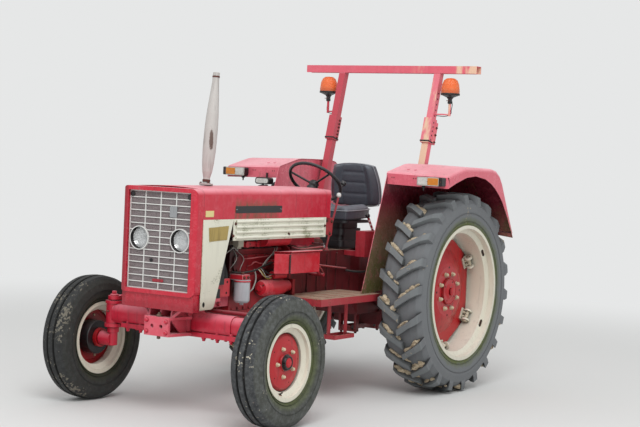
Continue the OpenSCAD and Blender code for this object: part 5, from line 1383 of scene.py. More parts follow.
# A rusty scar low on the silencer's left side, 26 mm wide and 130 mm high
scarred, tree, shader, painted = repaint(exhaust_silver, "silver_paint_with_rusty_scar")
coords = add(tree, "TexCoord").outputs["Object"]
ragged = add(tree, "TexNoise", {"Vector": coords, "Scale": 1 / 0.02, "Detail": 4, "Roughness": 0.7})
away = add(tree, "VectorMath", [coords, EXHAUST_FOOT + EXHAUST_TURN @ SCAR_FROM_FOOT], operation="SUBTRACT")
stretched = add(tree, "VectorMath", [away, (1 / 0.013, 1 / 0.013, 1 / 0.065)], operation="MULTIPLY")
reach = add(tree, "VectorMath", [stretched], operation="LENGTH")
torn = add(tree, "Math", [reach, ragged], operation="ADD")
scar_share = add(tree, "MapRange", [torn, 1.75, 1.35, 0, 0.9])
scar = add(tree, "Mix", {0: scar_share, 6: painted, 7: "#54392d"}, data_type="RGBA")
feed(shader, {"Base Color": scar})
dress(scarred, "exhaust")
exhaust_axis = EXHAUST_TURN @ Vector((0, 0, 1))
clamps = [
    turned(tube(0.0235, 0.0265, 0.022, 0.038), EXHAUST_FOOT, exhaust_axis, 32),
    turned(tube(0.0225, 0.0252, 0.724, 0.734), EXHAUST_FOOT, exhaust_axis, 32),
]
for k in range(3):
    a = radians(90 + 120 * k)
    foot = EXHAUST_FOOT + exhaust_axis * 0.012 + EXHAUST_TURN @ Vector((0.036 * cos(a), 0.036 * sin(a), 0))
    clamps += bolt(foot, exhaust_axis, 0.013)
piece("exhaust_clamps", clamps, rusty_bolt)

# Tool box
# A folded sheet box on the engine's side with a lid that no longer shuts. Its
# rolled lid edge has bleached pink, and a ribbed hinge stands at its corner.
BOX_X, BOX_FRONT, BOX_LOW = 0.385, -0.720, 0.920
box_enamel = enamel(
    "bright_crimson_box_enamel", "#c4192a", "#f0a9b0", grime_and_shade=0.2, rust=0.1, gloss=0.24, chips=0.35, edge=2,
)
dress(box_enamel, "tool_box")
hinge_profile = []
for i in range(11):
    z = 0.012 * i
    hinge_profile += [(0.0035, z), (0.0068, z + 0.001), (0.0068, z + 0.0085), (0.0035, z + 0.0095)]
hinge = [turned(
    [(0, 0)] + hinge_profile + [(0, 0.1315)], (BOX_X + 0.002, BOX_FRONT - 0.004, BOX_LOW + 0.001),
    (0, 0, 1), 14,
)]
hinge_dark = enamel("oily_hinge_steel", "#33211f", "#5b4340", grime_and_shade=0.6, rust=0.4, gloss=0.5, edge=1)
piece("tool_box_hinge", hinge, hinge_dark)
lid_lean = radians(4)
lid_edge = [
    (0.255 + 0.1405 * cos(lid_lean), BOX_FRONT - 0.008 + t, 1.058 + 0.1405 * sin(lid_lean) + 0.002)
    for t in (0, 0.12, 0.25, 0.386)
]
run("tool_box_lid_roll", [lid_edge], 0.010, box_enamel)
box_bolts = []
for y in (BOX_FRONT + 0.075, BOX_FRONT + 0.095):
    box_bolts += bolt((0.205, y, 0.970), (0, 0, -1), 0.014)
piece("tool_box_bolts", box_bolts, rusty_bolt)

# Rods beside the gearbox
# Plain steel rods and flat bars, painted with the rest: throttle rod to the
# cowl, brake rod along the gearbox and a brace from the box to the platform.
run(
    "throttle_rod",
    [[(0.225, -0.470, 1.088), (0.262, -0.440, 1.074), (0.272, -0.300, 1.078), (0.272, -0.126, 1.082)]],
    0.010, pipe_red,
)
joint = [turned(
    [(0, -0.011), (0.008, -0.008), (0.011, 0), (0.008, 0.008), (0, 0.011)], (0.272, -0.126, 1.082),
    (1, 0, 0), 20,
)]
joint.append(turned(tube(0, 0.007, 0, 0.105), (0.272, -0.126, 1.1), (-1, 0, 0), 14))
joint.append(block((0.266, -0.133, 1.080), (0.271, -0.119, 1.108)))
piece("throttle_joint", joint, badge_metal)
run(
    "brake_rod",
    [[(0.186, -0.345, 0.972), (0.190, -0.100, 0.945), (0.190, 0.200, 0.912), (0.180, 0.330, 0.900)]], 0.014,
    pipe_red,
)
run(
    "box_brace",
    [[
        (0.320, -0.348, 0.975), (0.300, -0.238, 0.955), (0.270, -0.120, 0.895), (0.230, -0.050, 0.868),
        (0.170, 0.000, 0.860),
    ]],
    0.011, pipe_red,
)

# Platform and pedals
# Chequered plate worn smooth, with dried dust on top and a rusty lip. The
# pedals and levers are forged steel with black knobs.
platform_enamel = enamel(
    "dusty_crimson_floor_plate", "#a8303a", "#b3957f", grime_and_shade=0.3, rust=0.75, gloss=0.42, chips=0.8,
    dust=0.95,
)
dress(platform_enamel, "platform")
forged_enamel = enamel(
    "worn_crimson_forged_steel", "#a62a36", "#cf7f84", grime_and_shade=0.4, rust=0.35, gloss=0.36, chips=0.7, edge=1,
)
dress(forged_enamel, "pedals")
knob_black = enamel(
    "black_phenolic_knob", "#161617", "#39393b", grime_and_shade=0.1, rust=0, gloss=0.25, chips=0, dust=0.25, edge=1,
)
knob_shape = [
    (0, -0.0184), (0.0104, -0.0184), (0.0174, -0.0082), (0.0174, 0.0052), (0.0094, 0.0164), (0, 0.0164),
]
knobs = [turned(knob_shape, at, (0, 0, 1), 24) for at in ((-0.160, 0.160, 1.380), (0, 0.140, 1.320))]
piece("lever_knobs", knobs, knob_black, smooth=60)
near_knob = [turned(knob_shape, (0.195, 0.166, 1.449), (0, 0, 1), 24)]
piece("throttle_knob", near_knob, grille_paint, smooth=60)
# White bands on the lift's lever beside the seat
band_low, band_high = Vector((0.340, 0.440, 1.180)), Vector((0.340, 0.350, 1.300))
band_axis = (band_high - band_low).normalized()
bands = [
    turned(tube(0.0091, 0.0096, 0, 0.016), band_low + band_axis * t, band_axis, 20)
    for t in (0.030, 0.066, 0.102)
]
piece("lift_lever_bands", bands, grille_paint)
lift_knob = [turned(knob_shape, band_high + band_axis * 0.004, band_axis, 24)]
piece("lift_lever_knob", lift_knob, knob_black, smooth=60)
# Raised beads across the platform
beads = []
for side in (-1, 1):
    for k in range(5):
        beads.append(block(
            (side * 0.235, -0.54 + 0.15 * k, 0.7498),
            (side * 0.235 + side * 0.290, -0.53 + 0.15 * k, 0.7522),
        ))
piece("platform_beads", beads, platform_enamel, edge=0.001)
# Grey hose from the lift's control box down to the gearbox
run(
    "lift_hose",
    [[
        (0.345, 0.500, 1.060), (0.345, 0.528, 1.040), (0.346, 0.530, 0.965), (0.340, 0.490, 0.912),
        (0.310, 0.420, 0.885), (0.250, 0.360, 0.880), (0.180, 0.330, 0.885),
    ]],
    0.018, rubber_black,
)

# Steering column and wheel
# A steel column with a black dashboard boot, and a wheel whose black plastic
# rim has finger grips below and greyed spokes.
column_enamel = enamel("black_column_enamel", "#1c1c1f", "#434347", grime_and_shade=0.3, rust=0.2, gloss=0.4)
dress(column_enamel, "steering_column")
wheel_plastic = enamel(
    "worn_black_wheel_plastic", "#1a1a1d", "#4b4a4d", grime_and_shade=0.1, rust=0, gloss=0.3, chips=0, dust=0.3,
    edge=2,
)
dress(wheel_plastic, "steering_wheel")
WHEEL_MIDDLE = Vector((0, 0.139, 1.539))
WHEEL_LEAN = Matrix.Rotation(radians(-41), 3, "X")
WHEEL_R, GRIP_R = 0.203, 0.012
grips = []
for k in range(36):
    a = 2 * pi * k / 36
    at = WHEEL_MIDDLE + WHEEL_LEAN @ Vector((WHEEL_R * cos(a), WHEEL_R * sin(a), -GRIP_R + 0.002))
    grips.append(turned(
        [(0, -0.004), (0.0055, -0.002), (0.006, 0.002), (0.0045, 0.005), (0, 0.0055)], at,
        WHEEL_LEAN @ Vector((0, 0, -1)), 10,
    ))
piece("wheel_finger_grips", grips, wheel_plastic, "steering_wheel", smooth=60)
hub_cap = [turned(
    [(0.030, -0.010), (0.0302, -0.0085), (0.024, -0.004), (0.012, -0.0015), (0, -0.001)], WHEEL_MIDDLE,
    WHEEL_LEAN @ Vector((0, 0, 1)), 32,
)]
piece("wheel_hub_cap", hub_cap, knob_black, "steering_wheel", smooth=60)

# Dash
# The cowl's rear face carries a black panel with two round gauges, whose
# glasses have fogged, and bare knobs below.
DASH_Y = -0.0775
gauges, gauge_glasses, dash = [], [], []
dash.append(outline_plate(rounded(0.330, 0.086, 0.018), (0, -0.0802, 1.408), (-1, 0, 0), (0, 0, 1), 0.003))
for x in (-0.085, 0.085):
    gauges.append(turned(
        [(0.030, 0), (0.036, 0), (0.036, 0.007), (0.031, 0.009), (0.030, 0.004)], (x, DASH_Y, 1.408),
        (0, 1, 0), 32,
    ))
    gauge_glasses.append(turned(tube(0, 0.0305, 0.003, 0.0045), (x, DASH_Y, 1.408), (0, 1, 0), 32))
for x in (-0.035, 0.0, 0.035):
    gauges.append(turned(
        [(0, 0), (0.006, 0), (0.006, 0.010), (0.010, 0.012), (0.010, 0.020), (0, 0.022)],
        (x, DASH_Y, 1.384), (0, 1, 0), 16,
    ))
piece("dash_panel", dash, dull_black, edge=0.001)
piece("dash_gauge_rims", gauges, badge_metal)
piece("dash_gauge_glasses", gauge_glasses, lamp_glass("fogged_gauge_glass", "#b9beb9", clear=0.3))

# Fenders
# Pressed steel in crimson. The decks have bleached pink, the walls inside are
# brown and mossy from the tyre, and rust runs down from the rear skirt.
FENDER_IN = 0.483
FENDER_RED = "#db6273"
FENDER_CHALK = "#fbb2bd"
WALL_BROWN = "#75634d"
MOSS = "#5a5f33"
fender_enamel = enamel(
    "bleached_crimson_fender_enamel", FENDER_RED, FENDER_CHALK, grime_and_shade=0.25, rust=0.12, gloss=0.26,
    chips=0.25, dust=0.1, edge=3,
)
fender_dirt, tree, shader, painted = repaint(fender_enamel, "fender_enamel_with_moss")
texture = add(tree, "TexCoord").outputs
coords = texture["Object"]
where = add(tree, "SeparateXYZ", [coords]).outputs
faces = add(tree, "SeparateXYZ", [texture["Normal"]]).outputs
sideways = add(tree, "Math", [where["X"]], operation="ABSOLUTE")
# Mud that the tyre throws covers what faces down or outwards inside the arch
outward = add(tree, "Math", [where["X"], faces["X"]], operation="MULTIPLY")
turned_out = add(tree, "MapRange", [outward, 0.1, 0.3])
on_wall = add(tree, "MapRange", [sideways, FENDER_IN + 0.012, FENDER_IN + 0.007])
wall_side = add(tree, "Math", [turned_out, on_wall], operation="MULTIPLY")
facing_down = add(tree, "MapRange", [faces["Z"], -0.2, -0.5])
thrown = add(tree, "Math", [wall_side, facing_down], operation="MAXIMUM")
# Moss in blotches of 70 mm, thick near the wall's foot and on the rear skirt
blotches = add(tree, "TexNoise", {"Vector": coords, "Scale": 1 / 0.07, "Detail": 6, "Roughness": 0.65})
low = add(tree, "MapRange", [where["Z"], 1.25, 0.78, 0, 0.30])
behind = add(tree, "MapRange", [where["Y"], 1.25, 1.50, 0, 0.16])
damp = add(tree, "Math", [low, behind], operation="MAXIMUM")
field = add(tree, "Math", [blotches, damp], operation="ADD")
moss_share = add(tree, "MapRange", [field, 0.62, 0.82, 0, 0.75])
mud_field = add(tree, "MapRange", [blotches, 0.2, 0.45, 0.55, 0.97])
mud_share = add(tree, "Math", [thrown, mud_field], operation="MULTIPLY")
# Higher up the mud is a thin film, and the dark crimson shows through it
film = add(tree, "MapRange", [where["Z"], 1.10, 1.42])
mud_tone = add(tree, "Mix", {0: film, 6: WALL_BROWN, 7: "#6a1f2b"}, data_type="RGBA")
muddy = add(tree, "Mix", {0: mud_share, 6: painted, 7: mud_tone}, data_type="RGBA")
mossy = add(tree, "Mix", {0: moss_share, 6: muddy, 7: MOSS}, data_type="RGBA")
feed(shader, {"Base Color": mossy})
dress(fender_dirt, "fender_left", "fender_right")
# Four screws through each deck near the front, two pairs on the face above the lamp
SMALL_SCREW = [(0, 0), (0.0045, 0), (0.0035, 0.002), (0, 0.0025)]
screws, face_screws = [], []
for side in (-1, 1):
    for x, y, z in (
        (0.600, 0.470, 1.6600), (0.660, 0.470, 1.6585), (0.595, 0.570, 1.6770), (0.660, 0.570, 1.6755),
    ):
        screws += [turned(
            [(0, -0.003), (0.010, -0.003), (0.010, 0.001), (0.007, 0.004), (0, 0.005)], (side * x, y, z),
            (0, -0.19, 1), 16,
        )]
    for x in (0.526, 0.543, 0.708, 0.727):
        face_screws += [turned(SMALL_SCREW, (side * x, 0.360, 1.597), (0, -1, 0), 12)]
piece("fender_deck_screws", screws, fender_enamel)
piece("fender_face_screws", face_screws, rusty_bolt)

# Fender lamps
# Each housing holds a white side lamp towards the middle and an amber
# indicator outside, in a pale plastic rim. The work lamp is black with a
# ribbed white lens.
LAMP_NEAR_X, LAMP_FAR_X = 0.770, 0.975
LAMP_LOW, LAMP_HIGH = 1.550, 1.612
LAMP_FRONT = 0.304
lamp_black = enamel(
    "weathered_black_plastic", "#1b1b1d", "#47464a", grime_and_shade=0.15, rust=0, gloss=0.4, chips=0, dust=0.35,
    edge=2,
)
dress(lamp_black, "fender_lamps")
clear_lens = lamp_glass("ribbed_white_lens", "#e6e6e0", flute=0.006, clear=0.35)
amber_lens = lamp_glass("ribbed_amber_lens", "#e8902f", flute=0.006, clear=0.25)
pale_rim = enamel(
    "aged_white_plastic_rim", "#c4c1ba", "#dad8d2", grime_and_shade=0.25, rust=0, gloss=0.35, chips=0, dust=0.2,
    edge=1,
)
middle_z = (LAMP_LOW + LAMP_HIGH) / 2
white_lenses, amber_lenses, lamp_rims, lamp_screws, lamp_backs = [], [], [], [], []
for side in (-1, 1):
    split_x = LAMP_NEAR_X + 0.42 * (LAMP_FAR_X - LAMP_NEAR_X)
    for low_x, high_x, lens_list in (
        (LAMP_NEAR_X + 0.006, split_x, white_lenses), (split_x, LAMP_FAR_X - 0.030, amber_lenses),
    ):
        wide = high_x - low_x - 0.002
        shape = rounded(wide, LAMP_HIGH - LAMP_LOW - 0.012, 0.005)
        lens_list.append(outline_plate(
            shape, (side * (low_x + high_x) / 2, LAMP_FRONT, middle_z), (1, 0, 0), (0, 0, 1), 0.0065,
        ))
    rim_wide = LAMP_FAR_X - 0.028 - LAMP_NEAR_X
    centre_x = side * (LAMP_NEAR_X + rim_wide / 2)
    for dz in (-1, 1):
        z = middle_z + dz * (LAMP_HIGH - LAMP_LOW - 0.006) / 2
        lamp_rims.append(block(
            (centre_x - rim_wide / 2, LAMP_FRONT - 0.004, z - 0.003),
            (centre_x + rim_wide / 2, LAMP_FRONT + 0.001, z + 0.003),
        ))
    for x in (LAMP_NEAR_X + 0.003, split_x, LAMP_FAR_X - 0.031):
        lamp_rims.append(block(
            (side * x - 0.0025, LAMP_FRONT - 0.004, LAMP_LOW),
            (side * x + 0.0025, LAMP_FRONT + 0.001, LAMP_HIGH),
        ))
    for x in (split_x, LAMP_FAR_X - 0.014):
        lamp_screws.append(turned(
            SMALL_SCREW, (side * x, LAMP_FRONT - (0.004 if x == split_x else 0), middle_z), (0, -1, 0), 12,
        ))
    # Bulb holder that stands out below the inner end
    lamp_backs.append(turned(
        [(0, 0), (0.011, 0), (0.013, 0.004), (0.013, 0.018), (0.006, 0.022), (0.0045, 0.040), (0, 0.040)],
        (side * (LAMP_NEAR_X + 0.035), 0.340, LAMP_LOW + 0.002), (0, 0, -1), 20,
    ))
piece("side_lamp_lenses", white_lenses, clear_lens, edge=0.002)
piece("indicator_lenses", amber_lenses, amber_lens, edge=0.002)
piece("fender_lamp_rims", lamp_rims, pale_rim, edge=0.001)
piece("fender_lamp_screws", lamp_screws, rusty_bolt)
piece("bulb_holders", lamp_backs, lamp_black)
work_lens = [outline_plate(
    rounded(0.112, 0.036, 0.014), (-0.590, 0.292, 1.518), (1, 0, 0), (0, 0, 1), 0.004,
)]
piece("work_lamp_lens", work_lens, clear_lens, edge=0.0015)

# Seat
# Two foam cushions in black-blue vinyl that has greyed, sewn from panels with
# piping along their edges, on a black pan with rubber bellows below.
SEAT_Y, SEAT_W = 0.460, 0.470
vinyl, tree, shader = new_material("greyed_black_vinyl")
coords = add(tree, "TexCoord").outputs
up = add(tree, "SeparateXYZ", [coords["Normal"]]).outputs["Z"]
# Leather grain 1.5 mm, creases 25 mm, dust in patches of 100 mm.
# Fine grain and broad dull patches read as vinyl.
grain = add(tree, "TexVoronoi", {"Vector": coords["Object"], "Scale": 1 / 0.0015})
creases = add(
    tree, "TexNoise", {"Vector": coords["Object"], "Scale": 1 / 0.025, "Detail": 5, "Distortion": 1.2},
)
patches = add(tree, "TexNoise", {"Vector": coords["Object"], "Scale": 1 / 0.1, "Detail": 5})
level = add(tree, "MapRange", [up, -0.2, 0.9])
dust_field = add(tree, "Math", [level, patches], operation="MULTIPLY")
dust_share = add(tree, "MapRange", [dust_field, 0.15, 0.6, 0, 0.5])
skin = add(tree, "Mix", {0: creases, 6: "#3b4048", 7: "#525761"}, data_type="RGBA")
dusty = add(tree, "Mix", {0: dust_share, 6: skin, 7: "#a2a7b0"}, data_type="RGBA")
rough = add(tree, "MapRange", [dust_share, 0, 1, 0.38, 0.7])
height = add(tree, "Math", [creases, 2.5, grain], operation="MULTIPLY_ADD")
bump = add(tree, "Bump", {"Height": height, "Strength": 0.45, "Distance": 0.002})
feed(shader, {"Base Color": dusty, "Roughness": rough, "Normal": bump})


def cushion(name, across, deep, at, lean, thick, crown, bolster, seams, taper, columns=36, rows=32):
    """A stuffed panel: crowned in the middle, raised at both sides as bolsters, drawn in along its seams.
    Its own plane is across by deep, leaning back by an angle; seams are places from 0 to 1 along its depth,
    and taper is how much narrower its far end is."""
    turn = Matrix.Rotation(lean, 3, "X")
    points, faces = [], []
    for j in range(rows + 1):
        v = j / rows
        for i in range(columns + 1):
            u = i / columns
            # The outline's corners are rounded off, and its far end is narrower
            a, b = 2 * u - 1, 2 * v - 1
            x = a * sqrt(1 - 0.22 * b * b) * across / 2 * (1 + 0.5 * taper * (0.5 - v))
            y = b * sqrt(1 - 0.22 * a * a) * deep / 2
            edge = (1 - abs(2 * u - 1) ** 6) * (1 - abs(2 * v - 1) ** 6)
            swell = crown * max(0.0, edge) ** 0.5
            side_rise = bolster * exp(-(((abs(2 * u - 1) - 0.78) / 0.15) ** 2)) * max(0.0, edge) ** 0.4
            groove = exp(-(((abs(a) - 0.52) * across / 2 / 0.008) ** 2))
            if abs(a) < 0.52:
                groove += sum(exp(-(((v - s) * deep / 0.008) ** 2)) for s in seams)
            z = thick / 2 + swell + side_rise - 0.009 * min(1.0, groove)
            points.append((x, y, z))
    top = len(points)
    for j in range(rows + 1):
        for i in range(columns + 1):
            x, y, _ = points[j * (columns + 1) + i]
            points.append((0.97 * x, 0.97 * y, -thick / 2))
    wide = columns + 1
    for j in range(rows):
        for i in range(columns):
            a = j * wide + i
            faces.append((a, a + 1, a + wide + 1, a + wide))
            faces.append((top + a, top + a + wide, top + a + wide + 1, top + a + 1))
    rim = list(range(wide)) + [j * wide + columns for j in range(1, rows + 1)]
    rim += [rows * wide + i for i in range(columns - 1, -1, -1)] + [j * wide for j in range(rows - 1, 0, -1)]
    for a, b in zip(rim, rim[1:] + rim[:1]):
        faces.append((a, top + a, top + b, b))
    shape = [(Vector(at) + turn @ Vector(p)) for p in points], faces
    made = piece(name, [shape], vinyl, smooth=75)
    smoothed = made.modifiers.new("stuffing", "SUBSURF")
    smoothed.levels = smoothed.render_levels = 1
    rim_line = [Vector(at) + turn @ Vector((
        points[a][0] * 1.004, points[a][1] * 1.004, points[a][2] - 0.002,
    )) for a in rim[::2]]
    return made, rim_line


# The piping is painted pale grey for the sheen that runs along the cushions' edges
piping_with_painted_sheen = enamel(
    "grey_piping_with_painted_sheen", "#83888f", "#b4b8bd", grime_and_shade=0.2, rust=0, gloss=0.3, chips=0, dust=0.1, edge=1,
)
seat_pad, seat_rim = cushion(
    "seat_cushion", SEAT_W - 0.020, 0.400, (0, SEAT_Y - 0.018, 1.302), radians(2), 0.070, 0.016, 0.026,
    (0.40, 0.70), 0.10,
)
back_pad, back_rim = cushion(
    "seat_backrest", SEAT_W - 0.046, 0.340, (0, SEAT_Y + 0.268, 1.522), radians(101), 0.060, 0.012, 0.026,
    (0.30, 0.56, 0.80), 0.36,
)
for rim_name, rim_line in (("seat_cushion_piping", seat_rim), ("seat_backrest_piping", back_rim)):
    run(rim_name, [rim_line + rim_line[:1]], 0.007, piping_with_painted_sheen)
for made in (seat_pad, back_pad):
    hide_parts("seat")
frame_black = enamel(
    "seat_frame_black_enamel", "#1d1d20", "#3f3f43", grime_and_shade=0.3, rust=0.35, gloss=0.45, edge=1.5,
)
dress(frame_black, "seat_frame")

# Roll bar
# Two raked square posts with bolted sleeves and a channel across the top. The
# crimson has bleached to ochre where the sun strikes it hardest.
POST_X, POST_W = 0.437, 0.056
POST_LEAN = radians(14.8)
SLEEVE_Z = 1.860
BAR_FOOT_Z = 2.405
bar_enamel = enamel(
    "sun_bleached_crimson_bar_enamel", "#e36576", "#f3acb5", grime_and_shade=0.1, rust=0.1, gloss=0.3, chips=0.3,
    dust=0.1, edge=2,
)
bleached, tree, shader, painted = repaint(bar_enamel, "ochre_bleached_bar_enamel")
texture = add(tree, "TexCoord").outputs
where = add(tree, "SeparateXYZ", [texture["Object"]]).outputs
faces = add(tree, "SeparateXYZ", [texture["Normal"]]).outputs
# Patches 90 mm wide and four times as long on the near post's front and the bar's near end
drawn_out = add(tree, "Mapping", {"Vector": texture["Object"], "Scale": (1 / 0.09, 1 / 0.09, 1 / 0.36)})
patches = add(tree, "TexNoise", {"Vector": drawn_out, "Scale": 1, "Detail": 4, "Roughness": 0.55})
to_front = add(tree, "MapRange", [faces["Y"], -0.5, -0.9])
near_side = add(tree, "MapRange", [where["X"], 0.2, 0.40])
bar_end = add(tree, "MapRange", [where["X"], 0.745, 0.776, 0, 0.30])
low_end = add(tree, "MapRange", [where["Z"], 1.90, 1.84, 0, 0.20])
lift = add(tree, "Math", [bar_end, low_end], operation="MAXIMUM")
field = add(tree, "Math", [patches, lift], operation="ADD")
patch = add(tree, "MapRange", [field, 0.50, 0.60, 0, 0.85])
on_face = add(tree, "Math", [to_front, near_side], operation="MULTIPLY")
share = add(tree, "Math", [patch, on_face], operation="MULTIPLY")
# The far post is painted a darker red below the bar, as shade
far_side = add(tree, "MapRange", [where["X"], -0.30, -0.36, 0, 0.8])
below_bar = add(tree, "Math", [where["Z"], BAR_FOOT_Z], operation="LESS_THAN")
shaded = add(tree, "Math", [far_side, below_bar], operation="MULTIPLY")
with_far_post_shade = add(tree, "Mix", {0: shaded, 6: painted, 7: "#b93242"}, data_type="RGBA")
ochre = add(tree, "Mix", {0: share, 6: with_far_post_shade, 7: "#ecd0ae"}, data_type="RGBA")
feed(shader, {"Base Color": ochre})
dress(bleached, "roll_bar")


def on_post(side, across, along, up):
    """A point on a post, from its middle line at the sleeve's foot: across it, square to it, and along it."""
    foot = Vector((0, 0.980 + (SLEEVE_Z - 1.700) * tan(POST_LEAN), SLEEVE_Z))
    turned_point = Matrix.Rotation(-POST_LEAN, 3, "X") @ Vector((0, along, up)) + foot
    return Vector((side * (POST_X + across), turned_point.y, turned_point.z))


post_bolts, adjust_holes, straps = [], [], []
for side in (-1, 1):
    for k in range(6):
        up = 0.022 + 0.029 * k
        if k % 2 == 0:
            post_bolts += bolt(
                on_post(side, POST_W / 2 + 0.012, 0.038, up), (side, 0, 0), 0.014, shank=0.004,
            )
        post_bolts += bolt(on_post(side, -POST_W / 2 - 0.008, 0.012, up), (-side, 0, 0), 0.013)
    for k in range(5):
        for at in (
            on_post(side, POST_W / 2 + 0.008, -0.010, 0.03 + 0.034 * k),
            on_post(side, POST_W / 2, 0, 0.225 + 0.045 * k),
        ):
            adjust_holes.append(turned(tube(0, 0.0065, 0, 0.0008), at, (side, 0, 0), 16))
    # Black rubber strap round the sleeve's foot
    corners = [
        on_post(side, side_x, side_y, up)
        for up in (0.0075, 0.0185)
        for side_x, side_y in ((-0.0396, -0.0476), (0.0396, -0.0476), (0.0396, 0.0396), (-0.0396, 0.0396))
    ]
    straps.append((
        corners, [(3, 2, 1, 0), (4, 5, 6, 7), (0, 1, 5, 4), (1, 2, 6, 5), (2, 3, 7, 6), (3, 0, 4, 7)],
    ))
    for y in (0.760, 0.920):
        post_bolts += bolt((side * (POST_X + 0.018), y, 0.8655), (0, 0, 1), 0.020)
piece("roll_bar_bolts", post_bolts, rusty_bolt)
piece("roll_bar_holes", adjust_holes, hole_shade_dark)
piece("roll_bar_straps", straps, rubber_black, edge=0.001)

# Beacons
# Amber plastic domes with moulded flutes on black rubber-skirted bases, each
# pushed over a peg and locked by a wing screw.
BEACON_X, BEACON_Y, BEACON_Z = 0.560, 1.140, 2.176
FLUTES = 60
DOME_FROM = BEACON_Z + 0.0785
beacon_plastic, tree, shader = new_material("amber_dome_on_black_base")
coords = add(tree, "TexCoord").outputs["Object"]
where = add(tree, "SeparateXYZ", [coords]).outputs
dome = add(tree, "Math", [where["Z"], DOME_FROM], operation="GREATER_THAN")
# Scuffs of 20 mm and grey grime round the dome's foot keep the amber from looking new
scuffs = add(tree, "TexNoise", {"Vector": coords, "Scale": 1 / 0.02, "Detail": 6, "Roughness": 0.7})
foot = add(tree, "MapRange", [where["Z"], DOME_FROM + 0.045, DOME_FROM + 0.005, 0, 0.9])
grimy = add(tree, "Math", [foot, scuffs], operation="MULTIPLY")
amber = add(tree, "Mix", {0: scuffs, 6: "#ec5f1f", 7: "#f2844a"}, data_type="RGBA")
amber_grime = add(tree, "Mix", {0: grimy, 6: amber, 7: "#8e5444"}, data_type="RGBA")
base_black = add(tree, "Mix", {0: scuffs, 6: "#131315", 7: "#38373a"}, data_type="RGBA")
colour = add(tree, "Mix", {0: dome, 6: base_black, 7: amber_grime}, data_type="RGBA")
light_through = add(tree, "Math", [dome, 0.12], operation="MULTIPLY")
rough = add(tree, "MapRange", [scuffs, 0.3, 0.7, 0.12, 0.4])
# Upright flutes round the dome, as the moulding has
sideways = add(tree, "Math", [where["X"]], operation="ABSOLUTE")
dx = add(tree, "Math", [sideways, BEACON_X], operation="SUBTRACT")
dy = add(tree, "Math", [where["Y"], BEACON_Y], operation="SUBTRACT")
turn_round = add(tree, "Math", [dy, dx], operation="ARCTAN2")
fluted = add(tree, "Math", [turn_round, FLUTES], operation="MULTIPLY")
wave = add(tree, "Math", [fluted], operation="SINE")
bump = add(tree, "Bump", {"Height": wave, "Strength": 0.35, "Distance": 0.0012})
feed(shader, {"Base Color": colour, "Roughness": rough, "Normal": bump})
feed(shader, {"Subsurface Weight": light_through, "Subsurface Radius": (0.03, 0.012, 0.004)})
dress(beacon_plastic, "beacons")
collars, wings = [], []
for side in (-1, 1):
    at = (side * BEACON_X, BEACON_Y, BEACON_Z)
    collars.append(turned(
        [(0.0705, 0.0655), (0.0735, 0.0655), (0.0745, 0.0720), (0.0735, 0.0800), (0.0715, 0.0815)], at,
        (0, 0, 1), 48,
    ))
    collars.append(turned(tube(0.0172, 0.0185, 0.004, 0.014), at, (0, 0, 1), 28))
    screw_at = (side * BEACON_X, BEACON_Y - 0.017, BEACON_Z + 0.022)
    wings.append(turned(tube(0, 0.0035, 0, 0.018), screw_at, (0, -1, 0), 12))
    wings.append(block(
        (side * BEACON_X - 0.014, BEACON_Y - 0.037, BEACON_Z + 0.0195),
        (side * BEACON_X + 0.014, BEACON_Y - 0.033, BEACON_Z + 0.0245),
    ))
piece("beacon_skirts", collars, rubber_black)
piece("beacon_wing_screws", wings, rusty_bolt, edge=0.001)
# Each beacon's lead leaves the base, is taped to the peg and enters the post
LEAD_ROUTE = (
    (0.012, 0.012, 0.020), (0.014, 0.014, -0.010), (0.0125, 0.004, -0.050), (0.010, 0.004, -0.078),
    (-0.020, -0.010, -0.096), (-0.095, -0.030, -0.096),
)
leads = [
    [(side * (BEACON_X + x), BEACON_Y + y, BEACON_Z + z) for x, y, z in LEAD_ROUTE] for side in (-1, 1)
]
run("beacon_leads", leads, 0.006, rubber_black)

# Gearbox and rear axle
# Heavy castings under the seat, painted once and since covered in oily mud.
# Flanges are bolted all round, and the power take-off is bare splined steel.
gear_enamel = enamel(
    "muddy_crimson_cast_iron", "#651a21", "#86564a", grime_and_shade=0.95, rust=0.4, gloss=0.5, chips=0.3, dust=0.85,
)
dress(gear_enamel, "transmission")
gear_bolts = []
for side in (-1, 1):
    for k in range(12):
        a = 2 * pi * (k + 0.5) / 12
        at = (side * 0.209, REAR_Y + 0.159 * cos(a), REAR_Z + 0.159 * sin(a))
        gear_bolts += bolt(at, (side, 0, 0), 0.018, washer=False)
    for k in range(8):
        a = 2 * pi * (k + 0.5) / 8
        at = (side * 0.574, REAR_Y + 0.106 * cos(a), REAR_Z + 0.106 * sin(a))
        gear_bolts += bolt(at, (-side, 0, 0), 0.016, washer=False)
    for z in (0.64, 0.70, 0.78, 0.86, 0.93):
        gear_bolts += bolt((side * 0.155, REAR_Y + 0.260, z), (0, 1, 0), 0.018, washer=False)
for x, y in [(x, y) for x in (-0.13, 0.13) for y in (0.70, 0.80, 0.90, 1.0)]:
    gear_bolts += bolt((x, y + 0.02, 1.092), (0, 0, 1), 0.015, washer=False)
piece("gear_bolts", gear_bolts, gear_enamel)
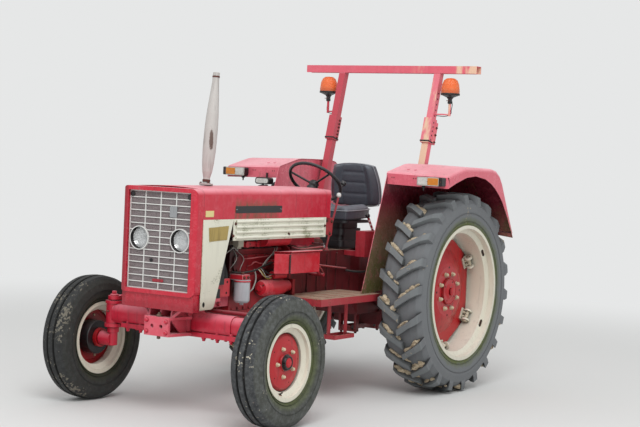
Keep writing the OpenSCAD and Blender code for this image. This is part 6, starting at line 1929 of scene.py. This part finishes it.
bright_steel = enamel(
    "oily_bright_steel", "#77736d", "#98948c", grime_and_shade=0.55, rust=0.35, gloss=0.25, chips=0, dust=0.2, edge=1,
    metal=0.7,
)
PTO_Z, PTO_FROM, PTO_TO = 0.640, 1.172, 1.249
splines = []
for k in range(6):
    turn = Matrix.Rotation(2 * pi * k / 6, 3, "Y")
    points, faces = block((-0.0035, 0, 0.0165), (0.0035, PTO_TO - PTO_FROM, 0.0185))
    splines.append(([turn @ Vector(p) + Vector((0, PTO_FROM, PTO_Z)) for p in points], faces))
piece("power_take_off_splines", splines, bright_steel)

# Rear hitch
# Forged arms, screw rods and lower links with ball ends. The red has worn to
# rust where chains and implements rub.
hitch_enamel = enamel(
    "rubbed_crimson_hitch_steel", "#8f2a30", "#b0645f", grime_and_shade=0.6, rust=0.8, gloss=0.45, chips=0.8,
    dust=0.5, edge=1.5,
)
dress(hitch_enamel, "lift_arms", "lift_rods", "lower_links", "drawbar")
LINK_Z, LINK_BACK_X, LINK_END_Y = 0.470, 0.400, 1.760
ball_rings = []
for side in (-1, 1):
    for face in (-1, 1):
        at = (side * LINK_BACK_X + face * 0.0215, LINK_END_Y, LINK_Z)
        ball_rings.append(turned(
            [(0.0150, 0.0002), (0.0250, 0.0002), (0.0225, 0.0035), (0.0150, 0.0040)], at, (face, 0, 0), 28,
        ))
piece("link_ball_rings", ball_rings, bright_steel, "lower_links")
LIFT_Y, LIFT_Z, LIFT_REACH = 0.980, 0.990, 0.300
pin_caps = []
for side in (-1, 1):
    at = (side * 0.287, LIFT_Y + LIFT_REACH, LIFT_Z)
    pin_caps.append(turned(
        [(0, 0), (0.017, 0), (0.017, 0.005), (0.011, 0.008), (0, 0.009)], at, (side, 0, 0), 20,
    ))
piece("lift_pin_caps", pin_caps, bright_steel, "lift_arms")
draw_bolts = []
for y in (0.700, 1.030):
    for side in (-1, 1):
        draw_bolts += bolt((side * 0.064, y, 0.384), (0, 0, -1), 0.020)
piece("drawbar_bolts", draw_bolts, rusty_bolt)
